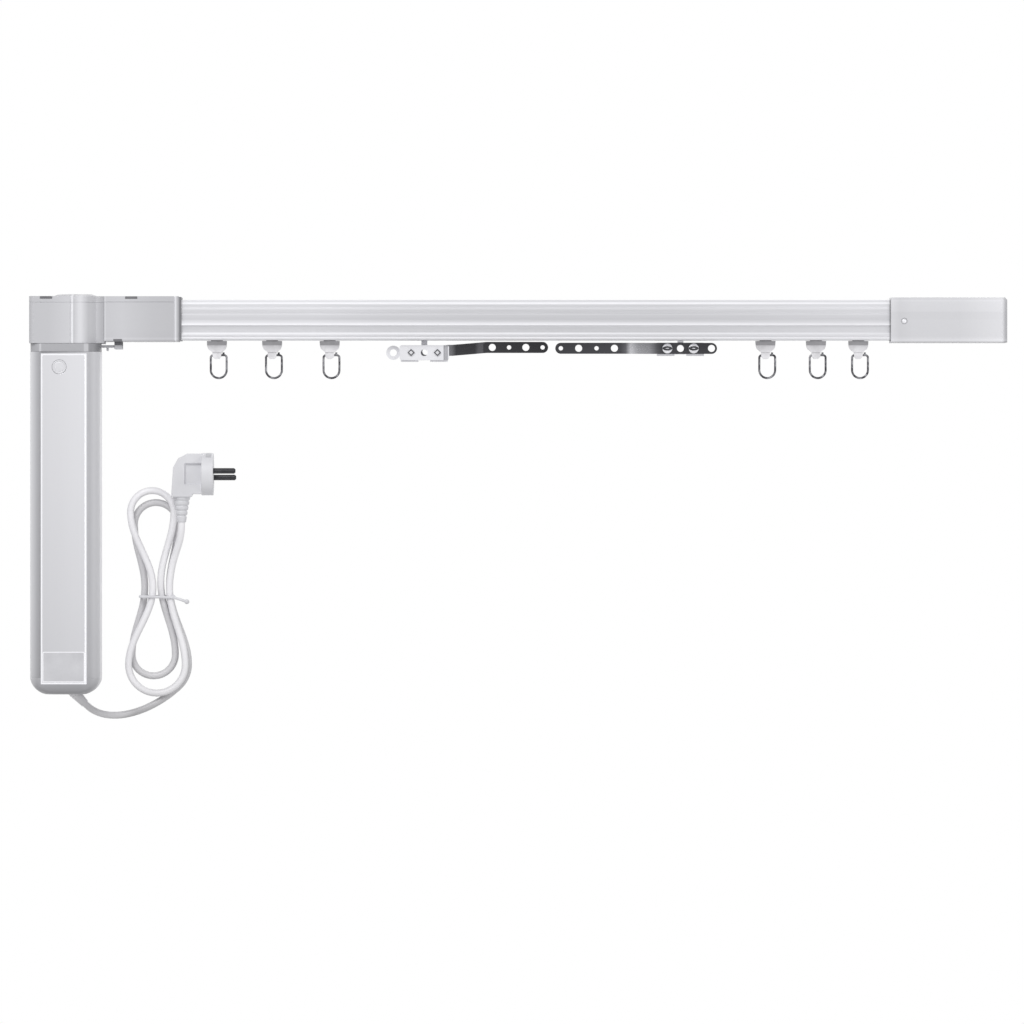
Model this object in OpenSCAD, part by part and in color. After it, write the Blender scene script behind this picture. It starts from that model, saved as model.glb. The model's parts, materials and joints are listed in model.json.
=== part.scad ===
// Electric curtain track: a rail with two belt-driven carriers, six gliders and a hanging motor.
// Millimetres. X runs along the rail, -Y is the front, +Z is up.
// The origin is the middle of the rail's top face, where the ceiling clips hold it.

/* [Rail] */
// Length of rail that shows between the adapter and the return box
rail_span = 603; // [596:1:640]
// Length of rail pushed into each box
rail_insert = 30; // [20:1:36]
// Depth of the rail, front to back
rail_w = 32; // [31:0.5:35]
// Height of the rail
rail_h = 34; // [33.5:0.5:38]
// Wall of the extrusion
rail_wall = 1.5; // [1.2:0.1:1.7]
// Depth of the recessed band along each side
band_depth = 1.1; // [0.8:0.1:1.3]
// How far the upper side faces stand back from the widest rib
face_inset = 0.8; // [0.4:0.1:1]
// Width of the top slot for the ceiling clips
clip_slot_w = 12; // [9:0.5:14]
// Width of the channel behind that slot
clip_channel_w = 23; // [20:0.5:25]
// Height of that channel
clip_channel_h = 4; // [3:0.25:4.5]
// Thickness of the lips beside the clip slot
clip_lip = 1.6; // [1.2:0.1:2]
// Width of the bottom slot that the runners hang through
runner_slot_w = 9; // [8.4:0.2:9.8]
// Thickness of the two ledges that the wheels roll on
ledge_t = 1.8; // [1.4:0.1:2.2]

/* [Boxes] */
// Wall of the adapter and the return box around the rail
box_wall = 1.9; // [1.6:0.1:2.4]
// Clearance between the rail and the boxes
rail_fit = 0.2; // [0.1:0.05:0.3]
// Length of the adapter between drive head and rail
adapter_len = 65.3; // [60:0.1:72]
// Length of the return box
return_len = 99; // [94:0.5:110]
// Radius of the upright edges at the return box's end
return_edge_r = 5; // [2:0.5:8]
// Distance from the return pulley's axis to the end of the return box
return_margin = 23; // [21:0.5:26]

/* [Drive head] */
// Width of the drive head along the rail
head_w = 63.5; // [62:0.5:70]
// Depth of the drive head
head_d = 52; // [51:0.5:56]
// Radius of the round boss around the sprocket
boss_r = 25.3; // [24:0.1:25.4]
// Wall of the drive head
head_wall = 2; // [1.6:0.1:2.4]
// How far the head's floor hangs below the boxes
head_drop = 0.9; // [0.5:0.1:2]
// Height of the raised hump on the head's cover
hump_h = 1.8; // [1:0.1:4]
// Radius of that hump
hump_r = 20.5; // [18:0.1:22]
// Run of the hump's sloping rim
hump_slope = 6; // [3:0.5:8]
// Height of the cover's skirt below the rail's top
cover_skirt = 2.2; // [1.6:0.1:3]

/* [Belt drive] */
// Tooth pitch of the belt
belt_pitch = 5; // [5:0.5:6]
// Width of the belt
belt_w = 8; // [7:0.25:8.25]
// Thickness of the belt's backing
belt_back = 1.2; // [1:0.1:1.4]
// Height of a belt tooth
tooth_h = 1.2; // [0.9:0.1:1.3]
// Half the distance between the two belt runs
belt_half = 9.5; // [9.3:0.1:9.8]
// Teeth on the drive sprocket
sprocket_teeth = 18; // [17:1:20]
// Radius of the guide rollers
roller_r = 2.5; // [2:0.1:2.6]
// Running clearance between belt and rollers
belt_fit = 0.15; // [0.1:0.05:0.2]
// Diameter of the return pulley's axle
return_axle_d = 5; // [4:0.5:6]
// Running clearance of journals in their bores, on the radius
journal_fit = 0.2; // [0.15:0.05:0.3]
// End play of turning pieces
end_play = 0.3; // [0.2:0.05:0.4]

/* [Motor] */
// Width of the motor
motor_w = 59.5; // [56:0.5:62]
// Depth of the motor
motor_d = 52; // [50:0.5:56]
// Radius of the motor's upright edges
motor_edge_r = 9.6; // [6:0.1:12]
// Length of the motor from the head to its end
motor_len = 298; // [260:1:340]
// Height of the collar under the head
collar_h = 7; // [6.5:0.1:9]
// Wall of the motor tube
motor_wall = 2; // [1.6:0.1:2.4]
// Height of the end cap
cap_h = 14; // [13.5:0.5:20]
// Radius of the end cap's lower edges, seen from the front
cap_r = 11; // [6:0.5:13]
// Width of the front panel
panel_w = 39.1; // [34:0.1:40]
// How far the front panel stands proud
panel_t = 1.2; // [0.8:0.1:1.6]
// Diameter of the set button
button_d = 12; // [9:0.5:14]
// Diameter of the geared motor
gear_d = 37; // [32:1:38]
// Length of the gearbox
gearbox_len = 52; // [40:1:60]
// Length of the motor can below the gearbox
can_len = 98; // [70:1:110]
// Length of the control board
board_len = 120; // [80:1:135]
// Width of the control board
board_w = 34; // [26:1:38]

/* [Carriers] */
// Half the distance between the two carriers at rest
carrier_off = 109; // [104:1:114]
// Diameter of the carrier wheels
wheel_d = 10; // [9:0.25:10.5]
// Width of a wheel
wheel_w = 4; // [3:0.25:4.4]
// Diameter of the wheel axles
axle_d = 3; // [2.4:0.1:3.4]
// Height of the steel arms
arm_h = 9.4; // [8.5:0.1:9.8]
// Thickness of the steel arms
arm_t = 1.8; // [1.4:0.1:2]
// Spacing of the holes along the arms
hole_pitch = 14.3; // [12:0.1:15]
// Diameter of the large arm holes
hole_large = 6; // [4.5:0.1:6.4]
// Diameter of the small arm holes
hole_small = 3.7; // [3:0.1:4.4]
// Width of the hanger blocks
block_w = 42; // [40:0.5:46]
// Height of the hanger blocks
block_h = 12.7; // [12:0.1:14]

/* [Gliders] */
// Diameter of the glider wheels
glider_wheel_d = 8; // [7:0.25:9]
// Width of the glider below the rail
glider_w = 17; // [15:0.5:18]
// Width of the tab that carries the ring
tab_w = 7.6; // [6.5:0.1:8]
// Diameter of the ring wire
wire_d = 1.7; // [1.4:0.1:1.9]
// Outer width of the ring
ring_w = 15.3; // [14:0.1:16.5]
// Outer height of the ring
ring_h = 21.2; // [19:0.1:24]
// How far the rings hang to the right of their eyes
ring_shift = 1.5; // [0:0.1:1.7]
// Play of the ring in its eye, on the diameter
eye_play = 0.8; // [0.5:0.1:1]

/* [Power lead] */
// Diameter of the lead
lead_d = 6; // [5:0.1:6]
// Diameter of the plug's face
plug_d = 36; // [34:0.5:38]
// Diameter of the plug pins
pin_d = 4.8; // [4:0.1:5]
// Length of the plug pins
pin_len = 19; // [18:0.5:20]
// Spacing of the plug pins
pin_gap = 19; // [18:0.5:20]

/* [Hidden] */
GLIDERS = [1, 2, 3, 4, 5, 6];
SIDES = ["left", "right"];
$fn = 48;

// Places along the rail, from the middle of the rail
clip_end = rail_span / 2;
rail_end = clip_end + rail_insert;
glider_x = clip_end * [-0.9008, -0.7449, -0.5824, 0.6481, 0.7907, 0.9101];
carrier_mid = 14;

// Levels inside the rail, from its top face down
rail_half = rail_w / 2;
rail_bot = -rail_h;
web_top = -clip_lip - clip_channel_h;
web_bot = web_top - 1.4;
belt_head = 2.8;
belt_top = web_bot - belt_head;
belt_bot = belt_top - belt_w;
belt_mid = (belt_top + belt_bot) / 2;
shelf_top = belt_bot - 0.3;
shelf_bot = shelf_top - 1.2;
ledge_top = rail_bot + ledge_t;
cavity_half = rail_half - band_depth - rail_wall;
shelf_in = belt_half - tooth_h + 0.2;
slot_half = runner_slot_w / 2;

// Boxes around the rail
box_top = rail_fit + box_wall;
box_bot = rail_bot - rail_fit - box_wall;
box_floor = rail_bot - rail_fit;
box_half = rail_half + rail_fit + box_wall;
head_top = box_top + 1;
adapter_bot = box_bot + 0.9;
box_in = rail_half + rail_fit;

// Drive head
head_right = -clip_end - adapter_len;
head_left = head_right - head_w;
head_half = head_d / 2;
shaft_x = head_right - boss_r;
crease_x = shaft_x - 3.2;
neck_half = box_half - 0.8;
head_bot = box_bot - head_drop;
head_floor = head_bot + head_wall;
seam_z = -cover_skirt;
cover_under = head_top - head_wall;

// Belt drive
sprocket_r = sprocket_teeth * belt_pitch / (2 * PI);
flange_t = 1;
teeth_top = belt_top + 0.5;
teeth_bot = belt_bot - 0.5;
hub_d = 14;
top_journal_d = 10;
guide_off = roller_r + belt_fit + belt_back;
guide_x = head_right + 14.8;
guide_y = belt_half + guide_off;
return_x = clip_end + return_len - return_margin;
hex_d = 8;
hex_fit = 0.3;

// Motor
motor_left = head_left + 0.6;
motor_x = motor_left + motor_w / 2;
motor_right = motor_left + motor_w;
motor_half = motor_d / 2;
motor_top = head_bot - 0.1;
tube_top = motor_top - collar_h;
motor_bot = motor_top - motor_len;
tube_bot = motor_bot + cap_h;
panel_top = tube_top - 1.5;
panel_bot = motor_bot + 8.6;
panel_x = motor_x - 0.8;
button_x = motor_x - 4.6;
button_z = tube_top - 13;
button_fit = 0.2;
button_proud = 0.6;

// Latch
latch_x = motor_right + 4.7;
latch_half = 7;
latch_top = motor_top - 1.2;
latch_bot = latch_top - 2;
latch_travel = 5;
latch_tab = [0.2, 1.7];
bracket_from = latch_tab[1] + latch_travel + 0.3;
bracket_to = bracket_from + 6.6;
latch_grip = 2.3;
latch_fit = 0.3;

// Carriers, in their own frame with the arm pointing to +X
run_gap = 0.2;
wheel_in = slot_half + 0.7;
truck_half = wheel_in - 0.5;
neck_y = slot_half - 0.9;
axle_z = ledge_top + run_gap + wheel_d / 2;
axle_x = 12;
axle_fit = 0.2;
truck_len = 36;
truck_bot = ledge_top + 0.8;
truck_top = axle_z + wheel_d / 2 + 0.8;
jaw_in = belt_half - tooth_h - 0.3;
jaw_out = belt_half + belt_back + 0.3;
jaw_t = 1.4;
jaw_len = 22;
bridge_bot = belt_top + 0.3;
bridge_top = web_bot - 0.6;
block_mid = rail_bot - 4.3 - block_h / 2;
block_lift = 3.7;
neck_len = 5;
block_front = -9;
arm_y = 0.6;
screw_x = 11.2;
arm_step = 5.6;
arm_end = block_w / 2 + 5.4;
arm_bend = [24, 53];
arm_first = [57.8, 56.3];
arm_pitch = [hole_pitch, hole_pitch + 0.9];
arm_back = [screw_x + 4, arm_end];
arm_root_z = [block_mid, block_mid + block_lift];
arm_tip_z = [block_mid + 4.7, block_mid + block_lift];
arm_eye = [[1.3, 1.2], [0, 0]];
arm_knee = [2.1, 0];
block_tall = [block_h, arm_h + 0.4];
loop_r = [6, arm_h / 2];
loop_hole = [hole_large, hole_large + 1.6];
shank_d = 4;
screw_head_d = 8;

// Gliders, in their own frame
glider_axle_z = ledge_top + run_gap + glider_wheel_d / 2;
glider_axle_d = 2.5;
glider_half = 4;
glider_top = rail_bot - 0.7;
shoulder_z = rail_bot - 5.2;
bucket_z = shoulder_z - 2.3;
tab_top = rail_bot - 10.2;
eye_z = rail_bot - 12.7;
tab_bot = eye_z - 3.2;
ring_half = (ring_w - wire_d) / 2;
ring_corner = ring_half - tab_w / 2 - ring_shift;

// Gland, free lead, hank and plug, from the middle of the motor's lower end
lead_at = [motor_x, 0, motor_bot];
gland_len = 22;
gland_at = lead_at + [0, 12, 7.1];
gland_dir = [sin(135), 0, cos(135)];
gland_tip = gland_at + gland_len * gland_dir;
tube_gap = 0.1;
hank_at = [lead_at.x + 78.6, lead_at.z + 86.9];
hank_folds = [
  [-1.3, -62, 26], [-3, 57.6, 18.5], [-5, -53.4, 18.5], [-6, 67.8, 18.5], [-2, -62.3, 24.2], [0, 62, 18.5]
];
hank_waist = [8.8, -12.6, 1.2, -5.4, 8.8];
hank_low_y = motor_half - lead_d / 2 - 1;
hank_rise = 6.7;
climb_share = 0.6;
hank_from = -0.28;
hank_to = 8.62;
hank_path = hank_points(6);
hank_first = hank_path[0];
hank_last = hank_path[len(hank_path) - 1];
hank_in_dir = run_dir(hank_path, 0);
hank_out_dir = run_dir(hank_path, len(hank_path) - 1);
lead_from = gland_tip + 1.5 * gland_dir;
lead_to = hank_first - 1.5 * hank_in_dir;
lead_points = concat(
  [gland_tip + tube_gap * gland_dir],
  sweep(lead_from, lead_from + 25 * gland_dir, lead_to - 31 * hank_in_dir, lead_to, 12),
  [hank_first - tube_gap * hank_in_dir]
);
plug_y = 3;
plug_z = lead_at.z + 187.1;
plug_face_x = lead_at.x + 125.35;
plug_tilt = 17;
relief_at = [plug_face_x - 27.2, plug_y, plug_z - 41];
relief_len = 22;
pin_root = 6;
pin_root_d = pin_d + 0.6;
tail_from = hank_last + hank_out_dir;
tail_to = relief_at - [0, 0, 1];
plug_points = concat(
  [hank_last + tube_gap * hank_out_dir],
  sweep(tail_from, tail_from + 18 * hank_out_dir, tail_to - [0, 0, 18], tail_to, 8),
  [relief_at - [0, 0, tube_gap]]
);

// Helpers

module box(a, b) {
  translate(a) cube(b - a);
}

module pin_x(y, z, d, x0, x1) {
  translate([x0, y, z]) rotate([0, 90, 0]) cylinder(h = x1 - x0, d = d);
}

module pin_y(x, z, d, y0, y1) {
  translate([x, y0, z]) rotate([-90, 0, 0]) cylinder(h = y1 - y0, d = d);
}

module pin_z(x, y, d, z0, z1) {
  translate([x, y, z0]) cylinder(h = z1 - z0, d = d);
}

// A YZ section drawn out along the rail
module along_x(x0, x1) {
  translate([x0, 0, 0]) rotate([90, 0, 90]) linear_extrude(x1 - x0) children();
}

// An XZ outline drawn out from front to back
module along_y(y0, y1) {
  translate([0, y1, 0]) rotate([90, 0, 0]) linear_extrude(y1 - y0) children();
}

// An XY plan drawn out upwards
module along_z(z0, z1) {
  translate([0, 0, z0]) linear_extrude(z1 - z0) children();
}

module rounded(a, b, r) {
  translate([a.x + r, a.y]) square([b.x - a.x - 2 * r, b.y - a.y]);
  translate([a.x, a.y + r]) square([b.x - a.x, b.y - a.y - 2 * r]);
  for (x = [a.x + r, b.x - r], y = [a.y + r, b.y - r]) translate([x, y]) circle(r);
}

// A tube of n sides swept along points, with flat ends square to its run
function unit(v) = v / norm(v);
function run_dir(p, i) = unit(p[min(i + 1, len(p) - 1)] - p[max(i - 1, 0)]);
function tube_ring(c, t, r, n) =
  let (u = unit([0, 1, 0] - t.y * t), v = cross(t, u))
  [for (k = [0 : n - 1]) c + r * (cos(360 * k / n) * u + sin(360 * k / n) * v)];
function tube_faces(m, n) = concat(
  [for (k = [1 : n - 2]) [0, k, k + 1]],
  [for (i = [0 : m - 2], k = [0 : n - 1]) [i * n + k, (i + 1) * n + k, (i + 1) * n + (k + 1) % n]],
  [for (i = [0 : m - 2], k = [0 : n - 1]) [i * n + k, (i + 1) * n + (k + 1) % n, i * n + (k + 1) % n]],
  [for (k = [1 : n - 2]) [(m - 1) * n, (m - 1) * n + k + 1, (m - 1) * n + k]]
);

module tube(points, d, sides) {
  rings = [for (i = [0 : len(points) - 1]) tube_ring(points[i], run_dir(points, i), d / 2, sides)];
  polyhedron([for (r = rings, p = r) p], tube_faces(len(points), sides));
}

// Rail

rail_side = concat(
  [[0, web_top], [clip_channel_w / 2, web_top], [clip_channel_w / 2, -clip_lip]],
  [[clip_slot_w / 2, -clip_lip], [clip_slot_w / 2, 0]],
  let (f = rail_half - face_inset) concat(
    [[f - 0.9, 0], [f, -0.9]],
    [for (g = [6.4, 11.5], p = [[0, 0.3], [0.4, 0], [0, -0.3]]) [f - p.x, -g + p.y]],
    [[f, -16.8]]
  ),
  [[rail_half, -21.1], [rail_half, -21.8], [rail_half - band_depth, -22.2]],
  [[rail_half - band_depth, -27.5], [rail_half, -29.8]],
  [for (p = [[0, 0.3], [0.5, 0], [0, -0.3]]) [rail_half - p.x, -31.4 + p.y]],
  [[rail_half, rail_bot + 0.8], [rail_half - 0.8, rail_bot], [slot_half, rail_bot]],
  [[slot_half, ledge_top], [cavity_half, ledge_top], [cavity_half, shelf_bot], [shelf_in, shelf_bot]],
  [[shelf_in, shelf_top], [cavity_half, shelf_top], [cavity_half, web_bot], [0, web_bot]]
);

module rail_section() {
  n = len(rail_side);
  polygon(concat(rail_side, [for (i = [n - 2 : -1 : 1]) [-rail_side[i].x, rail_side[i].y]]));
}

module track_rail() {
  color("lightgray") along_x(-rail_end, rail_end) rail_section();
}

// Track adapter between the drive head and the rail

module snap_window(x, y) {
  box([x - 5.2, -y - 1, cover_under - 0.3], [x + 5.2, -y + 1.3, head_top + 1]);
}

module groove_ring(x0, x1, depth) {
  along_x(x0, x1) difference() {
    square([4 * box_half, 6 * rail_h], center = true);
    translate([-box_half + depth, adapter_bot + depth])
      square([2 * (box_half - depth), head_top - adapter_bot - 2 * depth]);
  }
}

module track_adapter() {
  color("gainsboro") {
    difference() {
      box([head_right, -box_half, adapter_bot], [-clip_end, box_half, head_top]);
      box([head_right - 1, -box_in, box_floor], [-clip_end + 1, box_in, rail_fit]);
      groove_ring(-clip_end - 6, -clip_end - 5.2, 0.5);
      groove_ring(-clip_end - 2.2, -clip_end + 1, 0.6);
      for (s = [-1, 1])
        box([head_right - 1, s * box_half - 0.4, seam_z], [-clip_end - 6, s * box_half + 0.4, seam_z + 0.6]);
      snap_window(head_right + 23, box_half);
    }
    for (s = [-1, 1]) {
      pin_z(guide_x, s * guide_y, 1.8 * roller_r, box_floor - 0.1, belt_bot - 0.5 - end_play);
      pin_z(guide_x, s * guide_y, roller_r, box_floor, rail_fit + 0.1);
    }
  }
}

module guide_roller(s) {
  color("white") difference() {
    union() {
      pin_z(guide_x, s * guide_y, 2 * roller_r, belt_bot - 0.5, belt_top + 0.5);
    }
    pin_z(guide_x, s * guide_y, roller_r + 2 * journal_fit, belt_bot - 1, belt_top + 1);
  }
}

// Drive head

module head_plan(inset) {
  edge = 4;
  translate([head_left + edge, -head_half + inset]) square([crease_x - head_left - edge, head_d - 2 * inset]);
  rounded([head_left + inset, -head_half + inset], [crease_x - 6, head_half - inset], edge - inset);
  translate([shaft_x, 0]) circle(boss_r - inset, $fn = 96);
  translate([shaft_x, -neck_half + inset])
    square([head_right - shaft_x + min(inset, 1), 2 * (neck_half - inset)]);
}

module drive_housing() {
  color("gainsboro") difference() {
    union() {
      difference() {
        along_z(head_bot, seam_z) head_plan(0);
        along_z(head_floor, seam_z + 1) head_plan(head_wall);
      }
      pin_z(shaft_x, 0, hub_d + 7, head_bot, teeth_bot - flange_t - end_play);
    }
    pin_z(shaft_x, 0, hub_d + 2 * journal_fit, head_bot - 1, seam_z);
  }
}

module drive_cover() {
  color("gainsboro") difference() {
    union() {
      difference() {
        along_z(seam_z, head_top) head_plan(0);
        along_z(seam_z - 1, cover_under) head_plan(head_wall);
      }
      translate([shaft_x, 0, head_top - 0.1])
        cylinder(h = hump_h + 0.1, r1 = hump_r, r2 = hump_r - hump_slope, $fn = 96);
      pin_z(shaft_x, 0, top_journal_d + 7, teeth_top + flange_t + end_play, head_top);
    }
    pin_z(shaft_x, 0, top_journal_d + 2 * journal_fit, teeth_top, cover_under + 0.8);
    snap_window(head_left + 14.6, head_half);
  }
}

// Belt drive

// Half of the belt's loop, from the sprocket's far side round to the return pulley's far side.
// Each answer is a point of the pitch line and the direction to the inside of the loop.
guide_d = guide_x - shaft_x;
slant = asin((sprocket_r + guide_off) / norm([guide_d, guide_y])) - atan2(guide_y, guide_d);
leave = [shaft_x + sprocket_r * sin(slant), sprocket_r * cos(slant)];
meet = [guide_x - guide_off * sin(slant), guide_y - guide_off * cos(slant)];
arc_len = sprocket_r * (90 + slant) * PI / 180;
slant_len = norm(meet - leave);
roll_len = guide_off * slant * PI / 180;
run_len = return_x - guide_x;
turn_len = belt_half * PI / 2;
s1 = arc_len;
s2 = s1 + slant_len;
s3 = s2 + roll_len;
s4 = s3 + run_len;
loop_half = s4 + turn_len;

function on_circle(c, r, a) = [c + r * [cos(a), sin(a)], -[cos(a), sin(a)]];
function half_loop(s) =
  s < s1 ? on_circle([shaft_x, 0], sprocket_r, 180 - s / sprocket_r * 180 / PI) :
  s < s2 ? [leave + (s - s1) * [cos(slant), -sin(slant)], -[sin(slant), cos(slant)]] :
  s < s3 ? let (a = slant - (s - s2) / guide_off * 180 / PI)
    [[guide_x, guide_y] - guide_off * [sin(a), cos(a)], -[sin(a), cos(a)]] :
  s < s4 ? [[guide_x + s - s3, belt_half], [0, -1]] :
  on_circle([return_x, 0], belt_half, 90 - (s - s4) / belt_half * 180 / PI);
function loop_at(s) =
  s <= loop_half ? half_loop(s) :
  let (h = half_loop(2 * loop_half - s)) [[h[0].x, -h[0].y], [h[1].x, -h[1].y]];
function loop_point(s, depth) =
  let (h = loop_at((s + 2 * loop_half) % (2 * loop_half))) h[0] + depth * h[1];

belt_teeth = round(2 * loop_half / belt_pitch);
tooth_step = 2 * loop_half / belt_teeth;
tooth_base = 0.53 * belt_pitch;
tooth_tip = 0.36 * belt_pitch;
back_stops = concat(
  [for (k = [0 : 9]) s1 * k / 10], [s1, s2, s3, s4],
  [for (k = [1 : 9]) s4 + turn_len * k / 9]
);

module belt_outline() {
  n = len(back_stops);
  difference() {
    polygon([for (s = concat(back_stops, [for (i = [n - 2 : -1 : 1]) 2 * loop_half - back_stops[i]]))
      loop_point(s, -belt_back)]);
    polygon([
      for (i = [0 : belt_teeth - 1])
        for (c = [[-tooth_base, 0], [-tooth_tip, tooth_h], [tooth_tip, tooth_h], [tooth_base, 0]])
          loop_point(i * tooth_step + c[0] / 2, c[1])
    ]);
  }
}

module drive_belt() {
  color("dimgray") along_z(belt_bot, belt_top) belt_outline();
}

module sprocket_plan() {
  gap = 0.2;
  r = sprocket_r - belt_fit;
  difference() {
    circle(r, $fn = 96);
    for (i = [0 : sprocket_teeth - 1]) rotate(180 + i * 360 / sprocket_teeth)
      polygon([
        [r + 1, -tooth_base / 2 - gap], [r + 1, tooth_base / 2 + gap],
        [r - tooth_h - gap, tooth_tip / 2 + gap], [r - tooth_h - gap, -tooth_tip / 2 - gap]
      ]);
  }
}

module drive_sprocket() {
  flange_r = sprocket_r + belt_back + 0.4;
  color("white") difference() {
    union() {
      translate([shaft_x, 0, teeth_bot]) linear_extrude(teeth_top - teeth_bot) sprocket_plan();
      pin_z(shaft_x, 0, 2 * flange_r, teeth_top, teeth_top + flange_t);
      pin_z(shaft_x, 0, 2 * flange_r, teeth_bot - flange_t, teeth_bot);
      pin_z(shaft_x, 0, hub_d, head_bot + 0.4, teeth_bot);
      pin_z(shaft_x, 0, top_journal_d, teeth_top, cover_under - end_play);
    }
    translate([shaft_x, 0, head_bot - 1])
      cylinder(h = teeth_bot + 1 - head_bot, d = hex_d + 2 * hex_fit, $fn = 6);
  }
}

module motor_shaft() {
  color("silver") {
    translate([shaft_x, 0, tube_top]) cylinder(h = teeth_bot - 0.8 - tube_top, d = hex_d, $fn = 6);
    pin_z(shaft_x, 0, hex_d + 1, tube_top - 12, tube_top);
  }
}

// Return box

module return_plan() {
  translate([clip_end, -box_half]) square([return_len - return_edge_r - 1, 2 * box_half]);
  rounded([clip_end + 20, -box_half], [clip_end + return_len, box_half], return_edge_r);
}

cover_from = rail_end + 4;
cover_to = clip_end + return_len - 6;
cover_half = box_in - 3;

module return_housing() {
  color("gainsboro") {
    difference() {
      along_z(box_bot, box_top) return_plan();
      box([clip_end - 1, -box_in, box_floor], [clip_end + return_len - box_wall, box_in, rail_fit]);
      box([cover_from, -cover_half, 0], [cover_to, cover_half, box_top + 1]);
      pin_y(clip_end + 11.3, -18, screw_bore, -box_half - 1, 0);
      along_y(-box_half - 1, box_half + 1) polygon([
        [clip_end + return_len - 2.2, box_top + 0.1], [clip_end + return_len + 0.1, box_top + 0.1],
        [clip_end + return_len + 0.1, box_top - 2.2]
      ]);
    }
    pin_z(return_x, 0, return_axle_d + 6, box_floor - 0.1, teeth_bot - flange_t - end_play);
    pin_z(return_x, 0, return_axle_d, box_floor, -0.8 - end_play);
  }
}

module return_cover() {
  lip = 1.4;
  color("gainsboro") {
    box([cover_from + 0.2, -cover_half + 0.2, rail_fit - 0.1], [cover_to - 0.2, cover_half - 0.2, box_top]);
    box([cover_from - lip, -cover_half - lip, -0.8], [cover_to + lip, cover_half + lip, rail_fit]);
  }
}

module return_pulley() {
  core_r = belt_half - tooth_h - belt_fit;
  flange_r = belt_half + belt_back + 0.6;
  color("white") difference() {
    union() {
      pin_z(return_x, 0, 2 * core_r, teeth_bot, teeth_top);
      pin_z(return_x, 0, 2 * flange_r, teeth_top, teeth_top + flange_t);
      pin_z(return_x, 0, 2 * flange_r, teeth_bot - flange_t, teeth_bot);
    }
    pin_z(return_x, 0, return_axle_d + 2 * journal_fit, teeth_bot - 2, teeth_top + 2);
  }
}

screw_bore = 5.2;

module return_screw() {
  color("dimgray") difference() {
    pin_y(clip_end + 11.3, -18, screw_bore - 0.3, -box_half + 0.5, -rail_half - 0.05);
    translate([clip_end + 11.3, -box_half, -18]) rotate([-90, 0, 0]) cylinder(h = 1.5, d = 2.8, $fn = 6);
  }
}

// Motor

module motor_plan(inset) {
  rounded([motor_left + inset, -motor_half + inset], [motor_right - inset, motor_half - inset],
    motor_edge_r - inset);
}

module motor_collar() {
  color("silver") difference() {
    along_z(tube_top, motor_top) motor_plan(0.3);
    pin_z(shaft_x, 0, hex_d + 6, tube_top - 1, motor_top + 1);
    box([motor_right - latch_grip - 1, -latch_half - latch_fit, latch_bot - latch_fit],
      [motor_right + 1, latch_half + latch_fit, latch_top + latch_fit]);
  }
}

module button_seat() {
  pin_y(button_x, button_z, button_d + 2 * button_fit, -motor_half - 5, -motor_half + 1.2);
}

module motor_tube() {
  color("gainsboro") difference() {
    along_z(tube_bot, tube_top) motor_plan(0);
    along_z(tube_bot - 1, tube_top + 1) motor_plan(motor_wall);
    button_seat();
  }
}

// The panel is an upright plate whose four front edges are bevelled
module motor_panel() {
  bevel = 1.5;
  color("whitesmoke") difference() {
    intersection() {
      along_z(panel_bot, panel_top) polygon([
        [panel_x - panel_w / 2, -motor_half], [panel_x + panel_w / 2, -motor_half],
        [panel_x + panel_w / 2 - bevel, -motor_half - panel_t],
        [panel_x - panel_w / 2 + bevel, -motor_half - panel_t]
      ]);
      along_x(motor_left, motor_right) polygon([
        [-motor_half, panel_bot], [-motor_half, panel_top],
        [-motor_half - panel_t, panel_top - bevel], [-motor_half - panel_t, panel_bot + bevel]
      ]);
    }
    button_seat();
  }
}

module motor_cap() {
  high = tube_bot + 40;
  color("gainsboro") difference() {
    intersection() {
      along_z(motor_bot, tube_bot) motor_plan(0);
      along_y(-motor_d, motor_d) rounded([motor_left, motor_bot], [motor_right, high], cap_r);
      along_x(motor_left - 1, motor_right + 1)
        rounded([-motor_half, motor_bot], [motor_half, high], 0.7 * cap_r);
    }
    translate(gland_at) rotate([0, 135, 0]) translate([0, 0, -6]) cylinder(h = 40, d = 10.4);
    along_z(motor_bot + 9.5, tube_bot + 1) motor_plan(motor_wall);
  }
}

module set_button() {
  color("white") pin_y(button_x, button_z, button_d,
    -motor_half - panel_t - button_proud, -motor_half - 0.1);
}

module gear_motor() {
  gearbox_bot = tube_top - gearbox_len;
  can_bot = gearbox_bot - can_len;
  color("silver") difference() {
    union() {
      pin_z(shaft_x, 0, gear_d, gearbox_bot, tube_top);
      pin_z(shaft_x, 0, gear_d - 1.2, can_bot, gearbox_bot);
      pin_z(shaft_x, 0, gear_d - 12, can_bot - 0.12 * gearbox_len, can_bot);
    }
    pin_z(shaft_x, 0, hex_d + 1 + 2 * journal_fit, tube_top - 12 - end_play, tube_top + 1);
    for (k = [1 : 3]) translate([shaft_x, 0, tube_top - gearbox_len * k / 4])
      rotate_extrude() translate([gear_d / 2 - 0.5, 0]) square([2, 0.8]);
  }
}

module control_board() {
  inner = motor_left + motor_wall;
  top = tube_top - board_len / 4;
  low = top - board_len;
  color("darkgreen") {
    box([inner + 6.4, -board_w / 2, low], [inner + 8, board_w / 2, top]);
    for (z = [top - 10, low + 10], y = [-1, 1]) pin_x(y * (board_w / 2 - 4), z, 4, inner, inner + 6.5);
    for (k = [0.25, 0.42, 0.62]) pin_x(6, top - k * board_len, 8, inner + 2, inner + 6.5);
  }
}

// Latch under the adapter

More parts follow.
